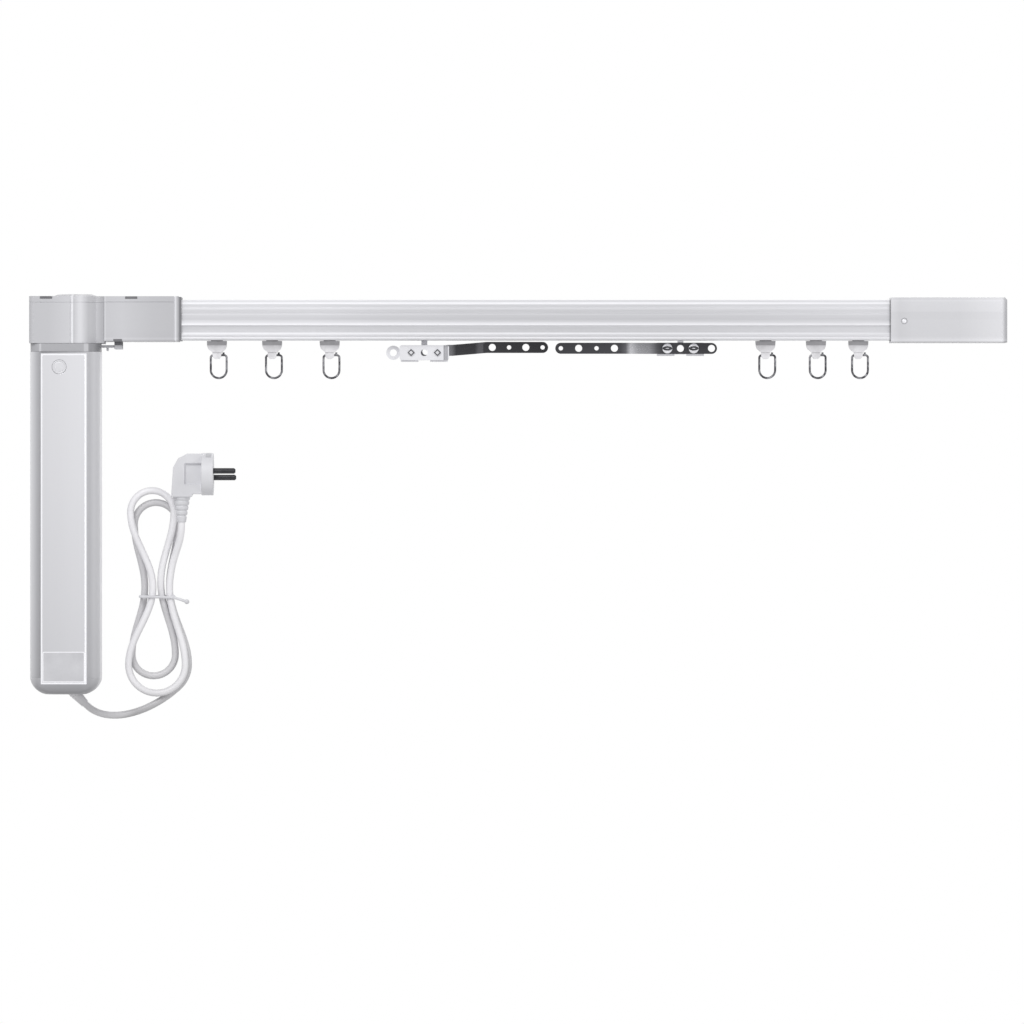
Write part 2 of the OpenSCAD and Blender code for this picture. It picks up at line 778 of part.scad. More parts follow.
module latch_bracket() {
  cheek = latch_half + latch_fit;
  color("gray") for (s = [-1, 1]) {
    box([latch_x + bracket_from, min(s * cheek, s * (cheek + 2)), latch_bot - 1.4],
      [latch_x + bracket_to, max(s * cheek, s * (cheek + 2)), adapter_bot]);
    box([latch_x + bracket_from, min(s * (cheek - 2), s * (cheek + 2)), latch_bot - 1.4],
      [latch_x + bracket_to, max(s * (cheek - 2), s * (cheek + 2)), latch_bot - latch_fit]);
    box([latch_x + bracket_from, min(s * (cheek - 2), s * (cheek + 2)), latch_top + latch_fit],
      [latch_x + bracket_to, max(s * (cheek - 2), s * (cheek + 2)), adapter_bot]);
  }
}

module motor_latch() {
  color("lightgray") {
    box([motor_right - latch_grip, -latch_half, latch_bot], [latch_x + bracket_to - 1, latch_half, latch_top]);
    box([latch_x + latch_tab[0], -4.8, latch_bot - 2.8], [latch_x + latch_tab[1], 4.8, latch_bot + 0.1]);
  }
}

// Carriers

module at_carrier(side) {
  translate([carrier_mid + (2 * side - 1) * carrier_off, 0, 0]) rotate([0, 0, 180 * side]) children();
}

module truck(root_z, tall) {
  tongue = 8;
  block_top = root_z + tall / 2;
  neck_bot = block_top + 0.3;
  color("white") difference() {
    union() {
      box([-truck_len / 2, -truck_half, truck_bot], [truck_len / 2, truck_half, truck_top]);
      box([-neck_len / 2, -neck_y, neck_bot], [neck_len / 2, neck_y, truck_bot + 1]);
      box([-tongue, -neck_y, block_top - 9], [tongue, arm_y - 1, block_top - 0.2]);
      box([-neck_len / 2, -neck_y, block_top - 3], [neck_len / 2, arm_y - 1, neck_bot + 1]);
      box([-jaw_len / 2, 2, truck_top - 1], [jaw_len / 2, truck_half, truck_top + 1]);
      box([-jaw_len / 2, 2, truck_top], [jaw_len / 2, jaw_in, bridge_top]);
      box([-jaw_len / 2, 2, bridge_bot], [jaw_len / 2, jaw_out + jaw_t, bridge_top]);
      box([-jaw_len / 2, jaw_out, belt_bot + 1.6], [jaw_len / 2, jaw_out + jaw_t, bridge_top]);
    }
    for (s = [-1, 1]) pin_y(s * axle_x, axle_z, axle_d + 2 * axle_fit, -rail_w, rail_w);
    pin_y(0, root_z, hole_large, -rail_w, rail_w);
  }
}

module wheel_pair(x, z, d, w, axle) {
  out = wheel_in + w;
  color("whitesmoke") translate([x, 0, z]) rotate([90, 0, 0]) {
    cylinder(h = 2 * out + 0.6, d = axle, center = true);
    for (s = [-1, 1]) translate([0, 0, s * (wheel_in + w / 2)]) difference() {
      cylinder(h = w, d = d, center = true);
      translate([0, 0, s * w / 2]) difference() {
        cylinder(h = 1.2, d = d - 2, center = true);
        cylinder(h = 2, d = axle + 1.6, center = true);
      }
    }
  }
}

module hanger_block(root_z, tall, loop, eye_d) {
  half = block_w / 2;
  block_top = root_z + tall / 2;
  block_low = root_z - tall / 2;
  color("whitesmoke") difference() {
    union() {
      along_y(block_front, arm_y) rounded([-half, block_low], [half, block_top], 2);
      for (x = [-half + 1, 5]) box([x, -6, block_low - 1.4], [x + 15, -1, block_low + 1]);
      along_y(-3.6, -0.8) translate([-arm_end, root_z]) circle(loop);
      box([-arm_end, -3.6, root_z - 3], [-half + 1, -0.8, root_z + 3]);
    }
    along_y(-5, 1) translate([-arm_end, root_z]) circle(eye_d / 2);
    box([-8.2, -neck_y - 0.2, block_top - 9.2], [8.2, arm_y - 0.8, block_top + 1]);
    box([half - 4.6, block_front - 1, block_low - 2], [half - 0.9, block_front + 1.4, block_top + 1]);
    pin_y(0, root_z, hole_large, -rail_w, rail_w);
    for (s = [-1, 1]) pin_y(s * screw_x, root_z, shank_d + 0.2, -rail_w, rail_w);
  }
}

// The arm is a flat bar, cranked to the rear so that the two arms pass each other
module steel_arm(root_z, tip_z, eye, back, first, pitch, knee) {
  h = arm_h / 2;
  arm_tip = first + 3 * pitch;
  far = arm_y + arm_step;
  color("dimgray") difference() {
    intersection() {
      along_y(-rail_w, rail_w) {
        polygon([
          [-back, root_z - h], [4, root_z - h], [20, root_z + knee - h], [arm_bend[0], root_z + knee - h],
          [arm_bend[1], tip_z - h], [arm_tip, tip_z - h], [arm_tip, tip_z + h], [arm_bend[1], tip_z + h],
          [arm_bend[0], root_z + knee + h], [20, root_z + knee + h], [4, root_z + h], [-back, root_z + h]
        ]);
        translate([-back, root_z]) circle(h);
        translate([arm_tip, tip_z]) circle(h);
      }
      along_z(rail_bot - 40, rail_bot) polygon([
        [-arm_end - 8, arm_y], [arm_bend[0] + 3, arm_y], [arm_bend[1] - 8, far], [arm_tip + 8, far],
        [arm_tip + 8, far + arm_t], [arm_bend[1] - 8.6, far + arm_t],
        [arm_bend[0] + 2.4, arm_y + arm_t], [-arm_end - 8, arm_y + arm_t]
      ]);
    }
    for (k = [0 : 3])
      pin_y(first + k * pitch, tip_z, k % 2 == 0 ? hole_large : hole_small, -rail_w, rail_w);
    pin_y(-arm_end, root_z, hole_large, -rail_w, rail_w);
    pin_y(eye.x, root_z + eye.y, hole_large, -rail_w, rail_w);
    for (s = [-1, 1]) pin_y(s * screw_x, root_z, shank_d + 0.2, -rail_w, rail_w);
  }
}

module carrier_screws(root_z) {
  back = arm_y + arm_t;
  color("silver") for (s = [-1, 1]) difference() {
    union() {
      pin_y(s * screw_x, root_z, shank_d, block_front, back);
      pin_y(s * screw_x, root_z, screw_head_d, back, back + 1.6);
      pin_y(s * screw_x, root_z, 5.6, block_front - 0.8, block_front);
    }
    box([s * screw_x - 2.6, back + 0.9, root_z - 0.4], [s * screw_x + 2.6, back + 2, root_z + 0.4]);
    box([s * screw_x - 0.4, back + 0.9, root_z - 2.6], [s * screw_x + 0.4, back + 2, root_z + 2.6]);
    translate([s * screw_x, block_front - 1, root_z]) rotate([-90, 45, 0])
      cylinder(h = 0.8, d = 3.2, $fn = 4);
  }
}

// Gliders

module glider_body() {
  w = glider_w / 2;
  t = tab_w / 2;
  color("whitesmoke") difference() {
    union() {
      box([-6, -truck_half, truck_bot], [6, truck_half, glider_axle_z + 3.4]);
      box([-5, -neck_y, glider_top - 1], [5, neck_y, truck_bot + 1]);
      along_y(-glider_half, glider_half) polygon([
        [-w, glider_top], [-w + 0.3, shoulder_z], [-w + 1.2, bucket_z], [-t, tab_top],
        [t, tab_top], [w - 1.2, bucket_z], [w - 0.3, shoulder_z], [w, glider_top]
      ]);
      along_y(-2.6, 2.6) polygon([
        [-t, tab_top + 1], [-t, eye_z], [-t + 0.5, eye_z - 1.8], [-t + 2, tab_bot],
        [t - 2, tab_bot], [t - 0.5, eye_z - 1.8], [t, eye_z], [t, tab_top + 1]
      ]);
    }
    pin_y(0, glider_axle_z, glider_axle_d + 2 * axle_fit, -rail_w, rail_w);
    pin_x(0, eye_z, wire_d + eye_play, -glider_w, glider_w);
  }
}

// The ring's straight top bar turns in the glider's eye
module glider_ring() {
  c = ring_corner;
  low = ring_h - wire_d - ring_half;
  bar = ring_half - c;
  color("gray") translate([ring_shift, 0, eye_z]) {
    rotate([0, 90, 0]) cylinder(h = 2 * bar, d = wire_d, center = true, $fn = 24);
    for (s = [0, 1]) mirror([s, 0, 0]) {
      translate([bar, 0, -c]) rotate([90, 0, 0])
        rotate_extrude(angle = 90) translate([c, 0]) circle(d = wire_d, $fn = 24);
      translate([ring_half, 0, -low]) cylinder(h = low - c, d = wire_d, $fn = 24);
    }
    translate([0, 0, -low]) rotate([90, 0, 0])
      rotate_extrude(angle = -180) translate([ring_half, 0]) circle(d = wire_d, $fn = 24);
  }
}

// Power lead

// Points of a curve that leaves a toward b and comes into d from c
function sweep(a, b, c, d, n) = [for (i = [0 : n]) let (t = i / n, u = 1 - t)
  u * u * u * a + 3 * u * u * t * b + 3 * u * t * t * c + t * t * t * d];

// Centre line of the hank: runs up on the right and down on the left, with round folds between.
// Each fold has its own middle and radius, and each run is drawn in to its own place at the tie.
// It starts on the low layer, climbs along its third run and goes on above the first turn.
function ease(f) = let (t = max(0, min(1, f))) t * t * (3 - 2 * t);
function fold_end(m, side) = [hank_folds[m].x + side * hank_folds[m].z, hank_folds[m].y];
function hank_fold(m, f) =
  let (side = m % 2 == 1 ? 1 : -1, c = hank_folds[m])
  [c.x + side * c.z * cos(180 * f), c.y + side * c.z * sin(180 * f)];
function hank_run(m, f) =
  let (side = m % 2 == 0 ? 1 : -1, a = fold_end(m, side), b = fold_end(m + 1, side))
  [a.x + (b.x - a.x) * ease(f) + (hank_waist[m] - (a.x + b.x) / 2) * pow(sin(180 * f), 2), a.y + (b.y - a.y) * f];
function hank_point(q) =
  let (k = floor(q), p = k % 2 == 0 ? hank_run(k / 2, q - k) : hank_fold((k + 1) / 2, q - k))
  [hank_at.x + p.x, hank_low_y - hank_rise * ease((q - 4) / climb_share), hank_at.y + p.y];
function hank_points(per_part) =
  let (n = round((hank_to - hank_from) * per_part), ends = 0.02)
  concat(
    [hank_point(hank_from), hank_point(hank_from + ends)],
    [for (i = [1 : n - 1]) hank_point(hank_from + (hank_to - hank_from) * i / n)],
    [hank_point(hank_to - ends), hank_point(hank_to)]
  );

hank_fine = hank_points(24);
hank_gap = min([
  for (i = [0 : len(hank_fine) - 1], j = [i + 30 : 1 : len(hank_fine) - 1]) norm(hank_fine[i] - hank_fine[j])
]) - lead_d;
echo(least_gap_of_hank = hank_gap);

module cable_gland() {
  color("whitesmoke") translate(gland_at) rotate([0, 135, 0]) {
    cylinder(h = gland_len, d1 = 10, d2 = lead_d + 1.2);
  }
}

module power_lead() {
  color("whitesmoke") tube(lead_points, lead_d, 10);
}

module lead_hank() {
  color("whitesmoke") tube(hank_path, lead_d, 6);
}

module plug_lead() {
  color("whitesmoke") tube(plug_points, lead_d, 10);
}

module hank_tie() {
  low = hank_low_y + lead_d / 2 + 0.3;
  high = hank_low_y - hank_rise - lead_d / 2 - 0.3;
  right = hank_at.x + max(hank_waist) + lead_d / 2 + 1.2;
  left = hank_at.x + min(hank_waist) - lead_d / 2 - 1.2;
  color("white") {
    along_z(hank_at.y - 5.2, hank_at.y - 3) difference() {
      rounded([left - 0.7, high - 0.7], [right + 0.7, low + 0.7], 2);
      rounded([left, high], [right, low], 1.4);
    }
    translate([right + 0.4, high + 3, hank_at.y - 4]) rotate([0, 112, 0]) cylinder(h = 13, d = 1.5, $fn = 16);
  }
}

module at_plug_pin(s) {
  across = s * pin_gap / 2;
  translate([plug_face_x - pin_root, plug_y + across * cos(plug_tilt), plug_z - across * sin(plug_tilt)])
    rotate([0, 90, 0]) children();
}

module plug_body() {
  grip = 17;
  color("whitesmoke") difference() {
    union() {
      pin_x(plug_y, plug_z, plug_d, plug_face_x - 10, plug_face_x);
      along_y(plug_y - grip / 2, plug_y + grip / 2) polygon([
        for (p = [
          [-35.9, -19.5], [-34.2, 6], [-29.9, 13.5], [-22.4, 17.5], [-9, 17.5], [-9, -17], [-17.4, -17], [-18.9, -19.5]
        ]) [plug_face_x, plug_z] + p
      ]);
      translate(relief_at) cylinder(h = relief_len, d1 = lead_d + 1.4, d2 = 15);
    }
    for (s = [-1, 1]) translate([0, plug_y + s * grip / 2, 0])
      box([plug_face_x - 24.4, -2.6, plug_z - 9], [plug_face_x - 10, 2.6, plug_z + 9]);
    for (k = [0 : 3]) translate(relief_at + [0, 0, 5 + 4.2 * k])
      difference() {
        cylinder(h = 1.4, d = 30);
        cylinder(h = 1.4, d = lead_d + 1.6 + 1.5 * k);
      }
    for (s = [-1, 1]) at_plug_pin(s) cylinder(h = pin_root + 1, d = pin_root_d);
  }
}

module plug_pins() {
  tip = 1.2;
  color("dimgray") for (s = [-1, 1]) at_plug_pin(s) {
    cylinder(h = pin_root, d = pin_root_d);
    translate([0, 0, pin_root - 0.1]) cylinder(h = pin_len - tip + 0.1, d = pin_d);
    translate([0, 0, pin_root + pin_len - tip]) cylinder(h = tip, d1 = pin_d, d2 = pin_d - 2);
  }
}

// Drawing

track_rail();
track_adapter();
drive_housing();
drive_cover();
drive_belt();
drive_sprocket();
motor_shaft();
guide_roller(-1);  // guide_roller_front
guide_roller(1);  // guide_roller_rear
return_housing();
return_cover();
return_pulley();
return_screw();
motor_collar();
motor_tube();
motor_panel();
motor_cap();
gear_motor();
control_board();
set_button();
latch_bracket();
motor_latch();
cable_gland();
power_lead();
lead_hank();
hank_tie();
plug_lead();
plug_body();
plug_pins();
for (i = [0, 1]) {
  at_carrier(i) truck(arm_root_z[i], block_tall[i]);
  at_carrier(i) wheel_pair(axle_x, axle_z, wheel_d, wheel_w, axle_d);
  at_carrier(i) wheel_pair(-axle_x, axle_z, wheel_d, wheel_w, axle_d);
  at_carrier(i)
    hanger_block(arm_root_z[i], block_tall[i], loop_r[i], loop_hole[i]);
  at_carrier(i)
      steel_arm(
        arm_root_z[i], arm_tip_z[i], arm_eye[i], arm_back[i], arm_first[i], arm_pitch[i], arm_knee[i]
      );
  at_carrier(i) carrier_screws(arm_root_z[i]);
}
for (i = GLIDERS) translate([glider_x[i - 1], 0, 0]) {
  glider_body();
  wheel_pair(0, glider_axle_z, glider_wheel_d, wheel_w - 0.6, glider_axle_d);
  glider_ring();
}
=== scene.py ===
# %% [markdown]
# Electric curtain track. A slotted rail carries two belt-driven carriers and six ring gliders.
# A long motor hangs under the drive head on the left, and its mains lead is tied into a hank.
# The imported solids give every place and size. This script dresses them: soft edges, finishes, the lead,
# the wire rings and the small repeats that the solids leave plain.

# %% Load the solids
import json
import math

import bmesh
import bpy
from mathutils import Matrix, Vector


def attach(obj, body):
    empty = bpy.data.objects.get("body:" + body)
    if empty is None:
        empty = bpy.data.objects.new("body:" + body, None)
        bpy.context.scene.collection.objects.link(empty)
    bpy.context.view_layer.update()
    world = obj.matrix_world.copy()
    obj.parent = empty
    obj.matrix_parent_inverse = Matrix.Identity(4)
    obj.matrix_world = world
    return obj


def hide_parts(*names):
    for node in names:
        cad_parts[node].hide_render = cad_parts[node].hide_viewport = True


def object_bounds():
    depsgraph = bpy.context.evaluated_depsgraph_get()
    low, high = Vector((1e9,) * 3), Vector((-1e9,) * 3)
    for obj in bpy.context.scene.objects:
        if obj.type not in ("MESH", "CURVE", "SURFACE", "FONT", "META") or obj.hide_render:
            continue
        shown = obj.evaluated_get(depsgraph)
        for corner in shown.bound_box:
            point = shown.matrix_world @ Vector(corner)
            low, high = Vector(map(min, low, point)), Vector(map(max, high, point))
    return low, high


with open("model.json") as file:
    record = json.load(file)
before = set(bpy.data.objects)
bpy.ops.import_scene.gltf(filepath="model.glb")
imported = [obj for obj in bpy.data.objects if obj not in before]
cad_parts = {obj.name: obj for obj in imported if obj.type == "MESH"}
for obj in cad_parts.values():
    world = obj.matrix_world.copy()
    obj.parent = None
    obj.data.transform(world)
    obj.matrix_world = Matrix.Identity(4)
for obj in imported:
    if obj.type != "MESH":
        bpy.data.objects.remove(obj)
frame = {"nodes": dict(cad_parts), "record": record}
cad_low, cad_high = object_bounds()
scene = bpy.context.scene
MM = 0.001
BODY_OF = {
    node: body
    for body, members in frame["record"]["behaviour"]["bodies"].items()
    for node in members
}

# %% [markdown]
# The photograph looks straight at the front from far away, so lines along the rail stay parallel.
# A long lens keeps that flat look. The distance follows from the width that the frame shows at the rail.

# %% Camera
FRAME_WIDTH = 870.4 * MM
FRAME_MIDDLE = Vector((-20.4, -12.0, -180.2)) * MM
LENS = 300.0
SENSOR = 36.0
camera_data = bpy.data.cameras.new("front_camera")
camera_data.lens = LENS
camera_data.sensor_width = SENSOR
camera = bpy.data.objects.new("front_camera", camera_data)
scene.collection.objects.link(camera)
camera_distance = FRAME_WIDTH * LENS / SENSOR
camera.location = FRAME_MIDDLE - Vector((0, camera_distance, 0))
camera.rotation_euler = (math.radians(90), 0, 0)
scene.camera = camera
scene.view_settings.view_transform = "Standard"
print("camera stands", round(camera_distance, 2), "m away")

# %% [markdown]
# The mains lead leaves a gland under the motor, runs to a hank of folded turns and ends in a plug.
# A flexible lead is one smooth line with a thickness, so one curve with a round bevel is enough.
# The hank takes turns: a run up on the right, a fold, a run down on the left and a fold. Each fold has its
# own middle and radius, and each run is drawn in to its own place at the tie. The first turn lies at the
# back. The line then comes forward and goes on in front of it, which keeps the turns clear of each other.

# %% The lead's route
MOTOR_X = -399.95
MOTOR_BOTTOM = -335.1
LEAD_D = 6.0
GLAND_LENGTH = 22.0
GLAND_DIR = Vector((math.sqrt(0.5), 0, -math.sqrt(0.5)))
GLAND_FOOT = (0, 12, 7.1)
RELIEF_FOOT = (98.15, 3, 146.1)
HANK_MIDDLE = (78.6, 86.9)
# Each fold's x and z from the middle of the hank, and its radius.
HANK_FOLDS = (
    (-1.3, -62, 26),
    (-3, 57.6, 18.5),
    (-5, -53.4, 18.5),
    (-6, 67.8, 18.5),
    (-2, -62.3, 24.2),
    (0, 62, 18.5),
)
# Each run's x at the tie.
HANK_WAIST = (8.8, -12.6, 1.2, -5.4, 8.8)
HANK_BACK_Y = 22.0
# Along the hank, every run and every fold counts as one.
HANK_FROM = -0.28
HANK_TO = 8.62
FORWARD_FROM = 4
FORWARD_SHARE = 0.6
FORWARD = 6.7
PER_PART = 24
TINY_STEP = 0.02
# How far the joining bends hold the direction of either end, and their numbers of steps.
LEAD_PULL = (25, 31)
LEAD_STEPS = 24
TAIL_PULL = 18
TAIL_STEPS = 14
STRAIGHT = 1.5
UP = Vector((0, 0, 1))


def at_motor(x, y, z):
    """A place in millimetres from the middle of the motor's lower end."""
    return Vector((MOTOR_X + x, y, MOTOR_BOTTOM + z))


def ease(share):
    """A share from 0 to 1 that starts and ends gently."""
    share = max(0.0, min(1.0, share))
    return share * share * (3 - 2 * share)


def hank_run(number, share):
    """A run from one fold to the next, drawn in at the tie."""
    side = 1 if number % 2 == 0 else -1
    (x1, z1, r1), (x2, z2, r2) = HANK_FOLDS[number], HANK_FOLDS[number + 1]
    start, end = x1 + side * r1, x2 + side * r2
    drawn_in = (HANK_WAIST[number] - (start + end) / 2) * math.sin(math.pi * share) ** 2
    return start + (end - start) * ease(share) + drawn_in, z1 + (z2 - z1) * share


def hank_fold(number, share):
    """Half a turn about a fold's middle."""
    side = 1 if number % 2 == 1 else -1
    x, z, radius = HANK_FOLDS[number]
    return x + side * radius * math.cos(math.pi * share), z + side * radius * math.sin(math.pi * share)


def hank_point(q):
    """Centre line of the hank: runs and folds take turns as q counts up."""
    part = math.floor(q)
    if part % 2 == 0:
        x, z = hank_run(part // 2, q - part)
    else:
        x, z = hank_fold((part + 1) // 2, q - part)
    forward = FORWARD * ease((q - FORWARD_FROM) / FORWARD_SHARE)
    return at_motor(HANK_MIDDLE[0] + x, HANK_BACK_Y - forward, HANK_MIDDLE[1] + z)


def sweep(a, b, c, d, count):
    """A curve that leaves a toward b and comes into d from c."""
    places = []
    for i in range(count + 1):
        t = i / count
        u = 1 - t
        places.append(u ** 3 * a + 3 * u ** 2 * t * b + 3 * u * t * t * c + t ** 3 * d)
    return places


hank_count = round((HANK_TO - HANK_FROM) * PER_PART)
hank_line = [
    hank_point(HANK_FROM + (HANK_TO - HANK_FROM) * i / hank_count)
    for i in range(hank_count + 1)
]
hank_in = (hank_point(HANK_FROM + TINY_STEP) - hank_line[0]).normalized()
hank_out = (hank_line[-1] - hank_point(HANK_TO - TINY_STEP)).normalized()
gland_foot = at_motor(*GLAND_FOOT)
gland_tip = gland_foot + GLAND_LENGTH * GLAND_DIR
relief_foot = at_motor(*RELIEF_FOOT)
lead_from = gland_tip + STRAIGHT * GLAND_DIR
lead_to = hank_line[0] - STRAIGHT * hank_in
lead_bend = sweep(
    lead_from, lead_from + LEAD_PULL[0] * GLAND_DIR, lead_to - LEAD_PULL[1] * hank_in, lead_to, LEAD_STEPS)
tail_from = hank_line[-1] + hank_out
tail_to = relief_foot - UP
tail_bend = sweep(
    tail_from, tail_from + TAIL_PULL * hank_out, tail_to - TAIL_PULL * UP, tail_to, TAIL_STEPS)
route = [place * MM for place in [gland_tip] + lead_bend + hank_line + tail_bend + [relief_foot]]

# %% [markdown]
# The bevel is one metre deep and every point scales it down, so a point's radius is the lead's radius.
# The curve's box then fits the lead.

# %% The lead as a curve
lead_curve = bpy.data.curves.new("mains_lead", "CURVE")
lead_curve.dimensions = "3D"
lead_curve.bevel_depth = 1.0
lead_curve.bevel_resolution = 5
lead_curve.use_fill_caps = True
lead_spline = lead_curve.splines.new("POLY")
lead_spline.points.add(len(route) - 1)
for place, point in zip(route, lead_spline.points):
    point.co = (*place, 1)
    point.radius = LEAD_D / 2 * MM
lead_spline.use_smooth = True
mains_lead = bpy.data.objects.new("mains_lead", lead_curve)
scene.collection.objects.link(mains_lead)
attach(mains_lead, "track")
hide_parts("power_lead", "lead_hank", "plug_lead")
print("lead thickness:", LEAD_D, "mm")

# %% [markdown]
# The photograph is a cut-out on white with even light and a little more from above.
# The world is white to the camera and to reflections, and gentler to matt surfaces.
# Four broad lamps add direction: shares are of the light that falls on a surface that faces the lamp.

# %% World and lamps
AMBIENT = 0.55
LAMP_DISTANCE = 3.0
LAMP_SIZE = 1.6


def add(tree, kind, **inputs):
    """A node of a kind, with its inputs linked or set by name. Underscores stand for spaces, and a node
    for its first output."""
    node = tree.nodes.new(kind)
    for label, source in inputs.items():
        socket = node.inputs[label.replace("_", " ")]
        if isinstance(source, bpy.types.Node):
            source = source.outputs[0]
        if isinstance(source, bpy.types.NodeSocket):
            tree.links.new(source, socket)
        else:
            socket.default_value = source
    return node


def combined(tree, kind, one, two):
    """What a math node makes of two values."""
    node = tree.nodes.new("ShaderNodeMath")
    node.operation = kind
    tree.links.new(one, node.inputs[0])
    tree.links.new(two, node.inputs[1])
    return node.outputs[0]


world = bpy.data.worlds.new("studio_white")
scene.world = world
world.use_nodes = True
sky_tree = world.node_tree
sky = sky_tree.nodes["Background"]
sky.inputs["Color"].default_value = (1, 1, 1, 1)
rays = sky_tree.nodes.new("ShaderNodeLightPath").outputs
seen = combined(sky_tree, "MAXIMUM", rays["Is Camera Ray"], rays["Is Glossy Ray"])
clear = combined(sky_tree, "MAXIMUM", seen, rays["Is Transmission Ray"])
level = add(sky_tree, "ShaderNodeMapRange", Value=clear, To_Min=AMBIENT)
sky_tree.links.new(level.outputs["Result"], sky.inputs["Strength"])


def lamp(name, towards, share):
    """A broad lamp that looks at the middle of the object."""
    data = bpy.data.lights.new(name, "AREA")
    data.shape = "DISK"
    data.size = LAMP_SIZE
    data.energy = share * math.pi ** 2 * LAMP_DISTANCE ** 2
    lamp_object = bpy.data.objects.new(name, data)
    scene.collection.objects.link(lamp_object)
    direction = Vector(towards).normalized()
    middle = (cad_low + cad_high) / 2
    lamp_object.location = middle + direction * LAMP_DISTANCE
    lamp_object.rotation_euler = direction.to_track_quat("Z", "Y").to_euler()


lamp("key_lamp", (-0.35, -0.75, 0.56), 0.42)
lamp("fill_lamp", (0.75, -0.65, 0.10), 0.14)
lamp("rear_lamp", (0.25, 0.85, 0.45), 0.36)
lamp("low_lamp", (0.1, -0.4, -0.9), 0.10)
print("lamps:", len(bpy.data.lights))

# %% [markdown]
# The photograph's surface is a plain white board right behind the track. It has no shading of its own
# there, so the board is white to the camera and to reflections and lets every other ray through. From
# behind it is clear, so the track's rear can be seen.

# %% Backing board
BOARD_Y = 26.4 * MM
BOARD_HALF_WIDTH = 1.2
BOARD_LOW, BOARD_HIGH = -1.0, 0.7
board_mesh = bpy.data.meshes.new("backing_board")
board_corners = ((-1, BOARD_LOW), (1, BOARD_LOW), (1, BOARD_HIGH), (-1, BOARD_HIGH))
board_mesh.from_pydata(
    [(side * BOARD_HALF_WIDTH, BOARD_Y, z) for side, z in board_corners], [], [(0, 1, 2, 3)])
backing_board = bpy.data.objects.new("backing_board", board_mesh)
scene.collection.objects.link(backing_board)
board_white = bpy.data.materials.new("board_white")
board_white.use_nodes = True
board_tree = board_white.node_tree
board_tree.nodes.remove(board_tree.nodes["Principled BSDF"])
board_rays = board_tree.nodes.new("ShaderNodeLightPath").outputs
board_side = board_tree.nodes.new("ShaderNodeNewGeometry").outputs
board_seen = combined(board_tree, "MAXIMUM", board_rays["Is Camera Ray"], board_rays["Is Glossy Ray"])
board_front = combined(board_tree, "SUBTRACT", board_seen, board_side["Backfacing"])
board_front.node.use_clamp = True
board_mix = add(board_tree, "ShaderNodeMixShader", Fac=board_front)
for socket, kind in zip(board_mix.inputs[1:], ("ShaderNodeBsdfTransparent", "ShaderNodeEmission")):
    board_tree.links.new(board_tree.nodes.new(kind).outputs[0], socket)
board_tree.links.new(board_mix.outputs[0], board_tree.nodes["Material Output"].inputs["Surface"])
board_mesh.materials.append(board_white)
print("board stands", round(BOARD_Y * 1000, 1), "mm behind the middle of the rail")

# %% [markdown]
# Colours are written as display levels, as a picture shows them, and turned into linear light. A ramp spreads
# them along an axis. All patterns sit on Object coordinates, so they stay with a piece that moves.

# %% Colour helpers
NOISE_LOW, NOISE_HIGH = 0.3, 0.7


def tone(red, green, blue):
    """A linear colour from display levels of 0 to 255."""
    def linear(level):
        share = level / 255
        return share / 12.92 if share <= 0.04045 else ((share + 0.055) / 1.055) ** 2.4
    return (linear(red), linear(green), linear(blue), 1.0)


def grey(level, warm=0):
    """A grey with a touch of blue, or of warmth where warm is above 0."""
    return tone(level + warm, level, level + 4 - warm)


def between(low, high, warm=0):
    """Stops of a finish that drifts between two greys on a slow noise."""
    return [(NOISE_LOW, grey(low, warm)), (NOISE_HIGH, grey(high, warm))]


def along_mm(*pairs):
    """Stops of a finish from (millimetres, grey level) pairs."""
    return [(at * MM, grey(level)) for at, level in pairs]


def ramp_of(tree, value, stops):
    """Colours that follow a value. Stops are (share, colour)."""
    ramp = add(tree, "ShaderNodeValToRGB", Fac=value)
    elements = ramp.color_ramp.elements
    while len(elements) < len(stops):
        elements.new(0.5)
    for element, (at, colour) in zip(elements, stops):
        element.position = at
        element.color = colour
    return ramp.outputs["Color"]


def axis_ramp(tree, where, axis, stops):
    """Colours along one axis. Stops are (metres, colour)."""
    low = stops[0][0]
    high = stops[-1][0]
    split = add(tree, "ShaderNodeSeparateXYZ", Vector=where)
    reach = add(tree, "ShaderNodeMapRange", From_Min=low, From_Max=high, Value=split.outputs[axis])
    shares = [((at - low) / (high - low), colour) for at, colour in stops]
    return ramp_of(tree, reach.outputs["Result"], shares)


def blended(tree, kind, one, two):
    """Two colours mixed in full by one kind of blend."""
    blend = tree.nodes.new("ShaderNodeMix")
    blend.data_type = "RGBA"
    blend.blend_type = kind
    blend.inputs["Factor"].default_value = 1.0
    tree.links.new(one, blend.inputs["A"])
    tree.links.new(two, blend.inputs["B"])
    return blend.outputs["Result"]


print("middle grey in linear light:", round(grey(128)[0], 3))

# %% [markdown]
# Every finish starts from the same three things: a colour that drifts across the piece, a fine grain in
# colour, gloss and bump, and one shader. The drift runs along an axis where a piece has stops along its
# length or height, mostly painted light and shade such as the rail's bright crests, and follows a slow noise
# elsewhere.

# %% Finish helper
GRAIN_DETAIL = 4.0
GRAIN_DEPTH = 0.1 * MM


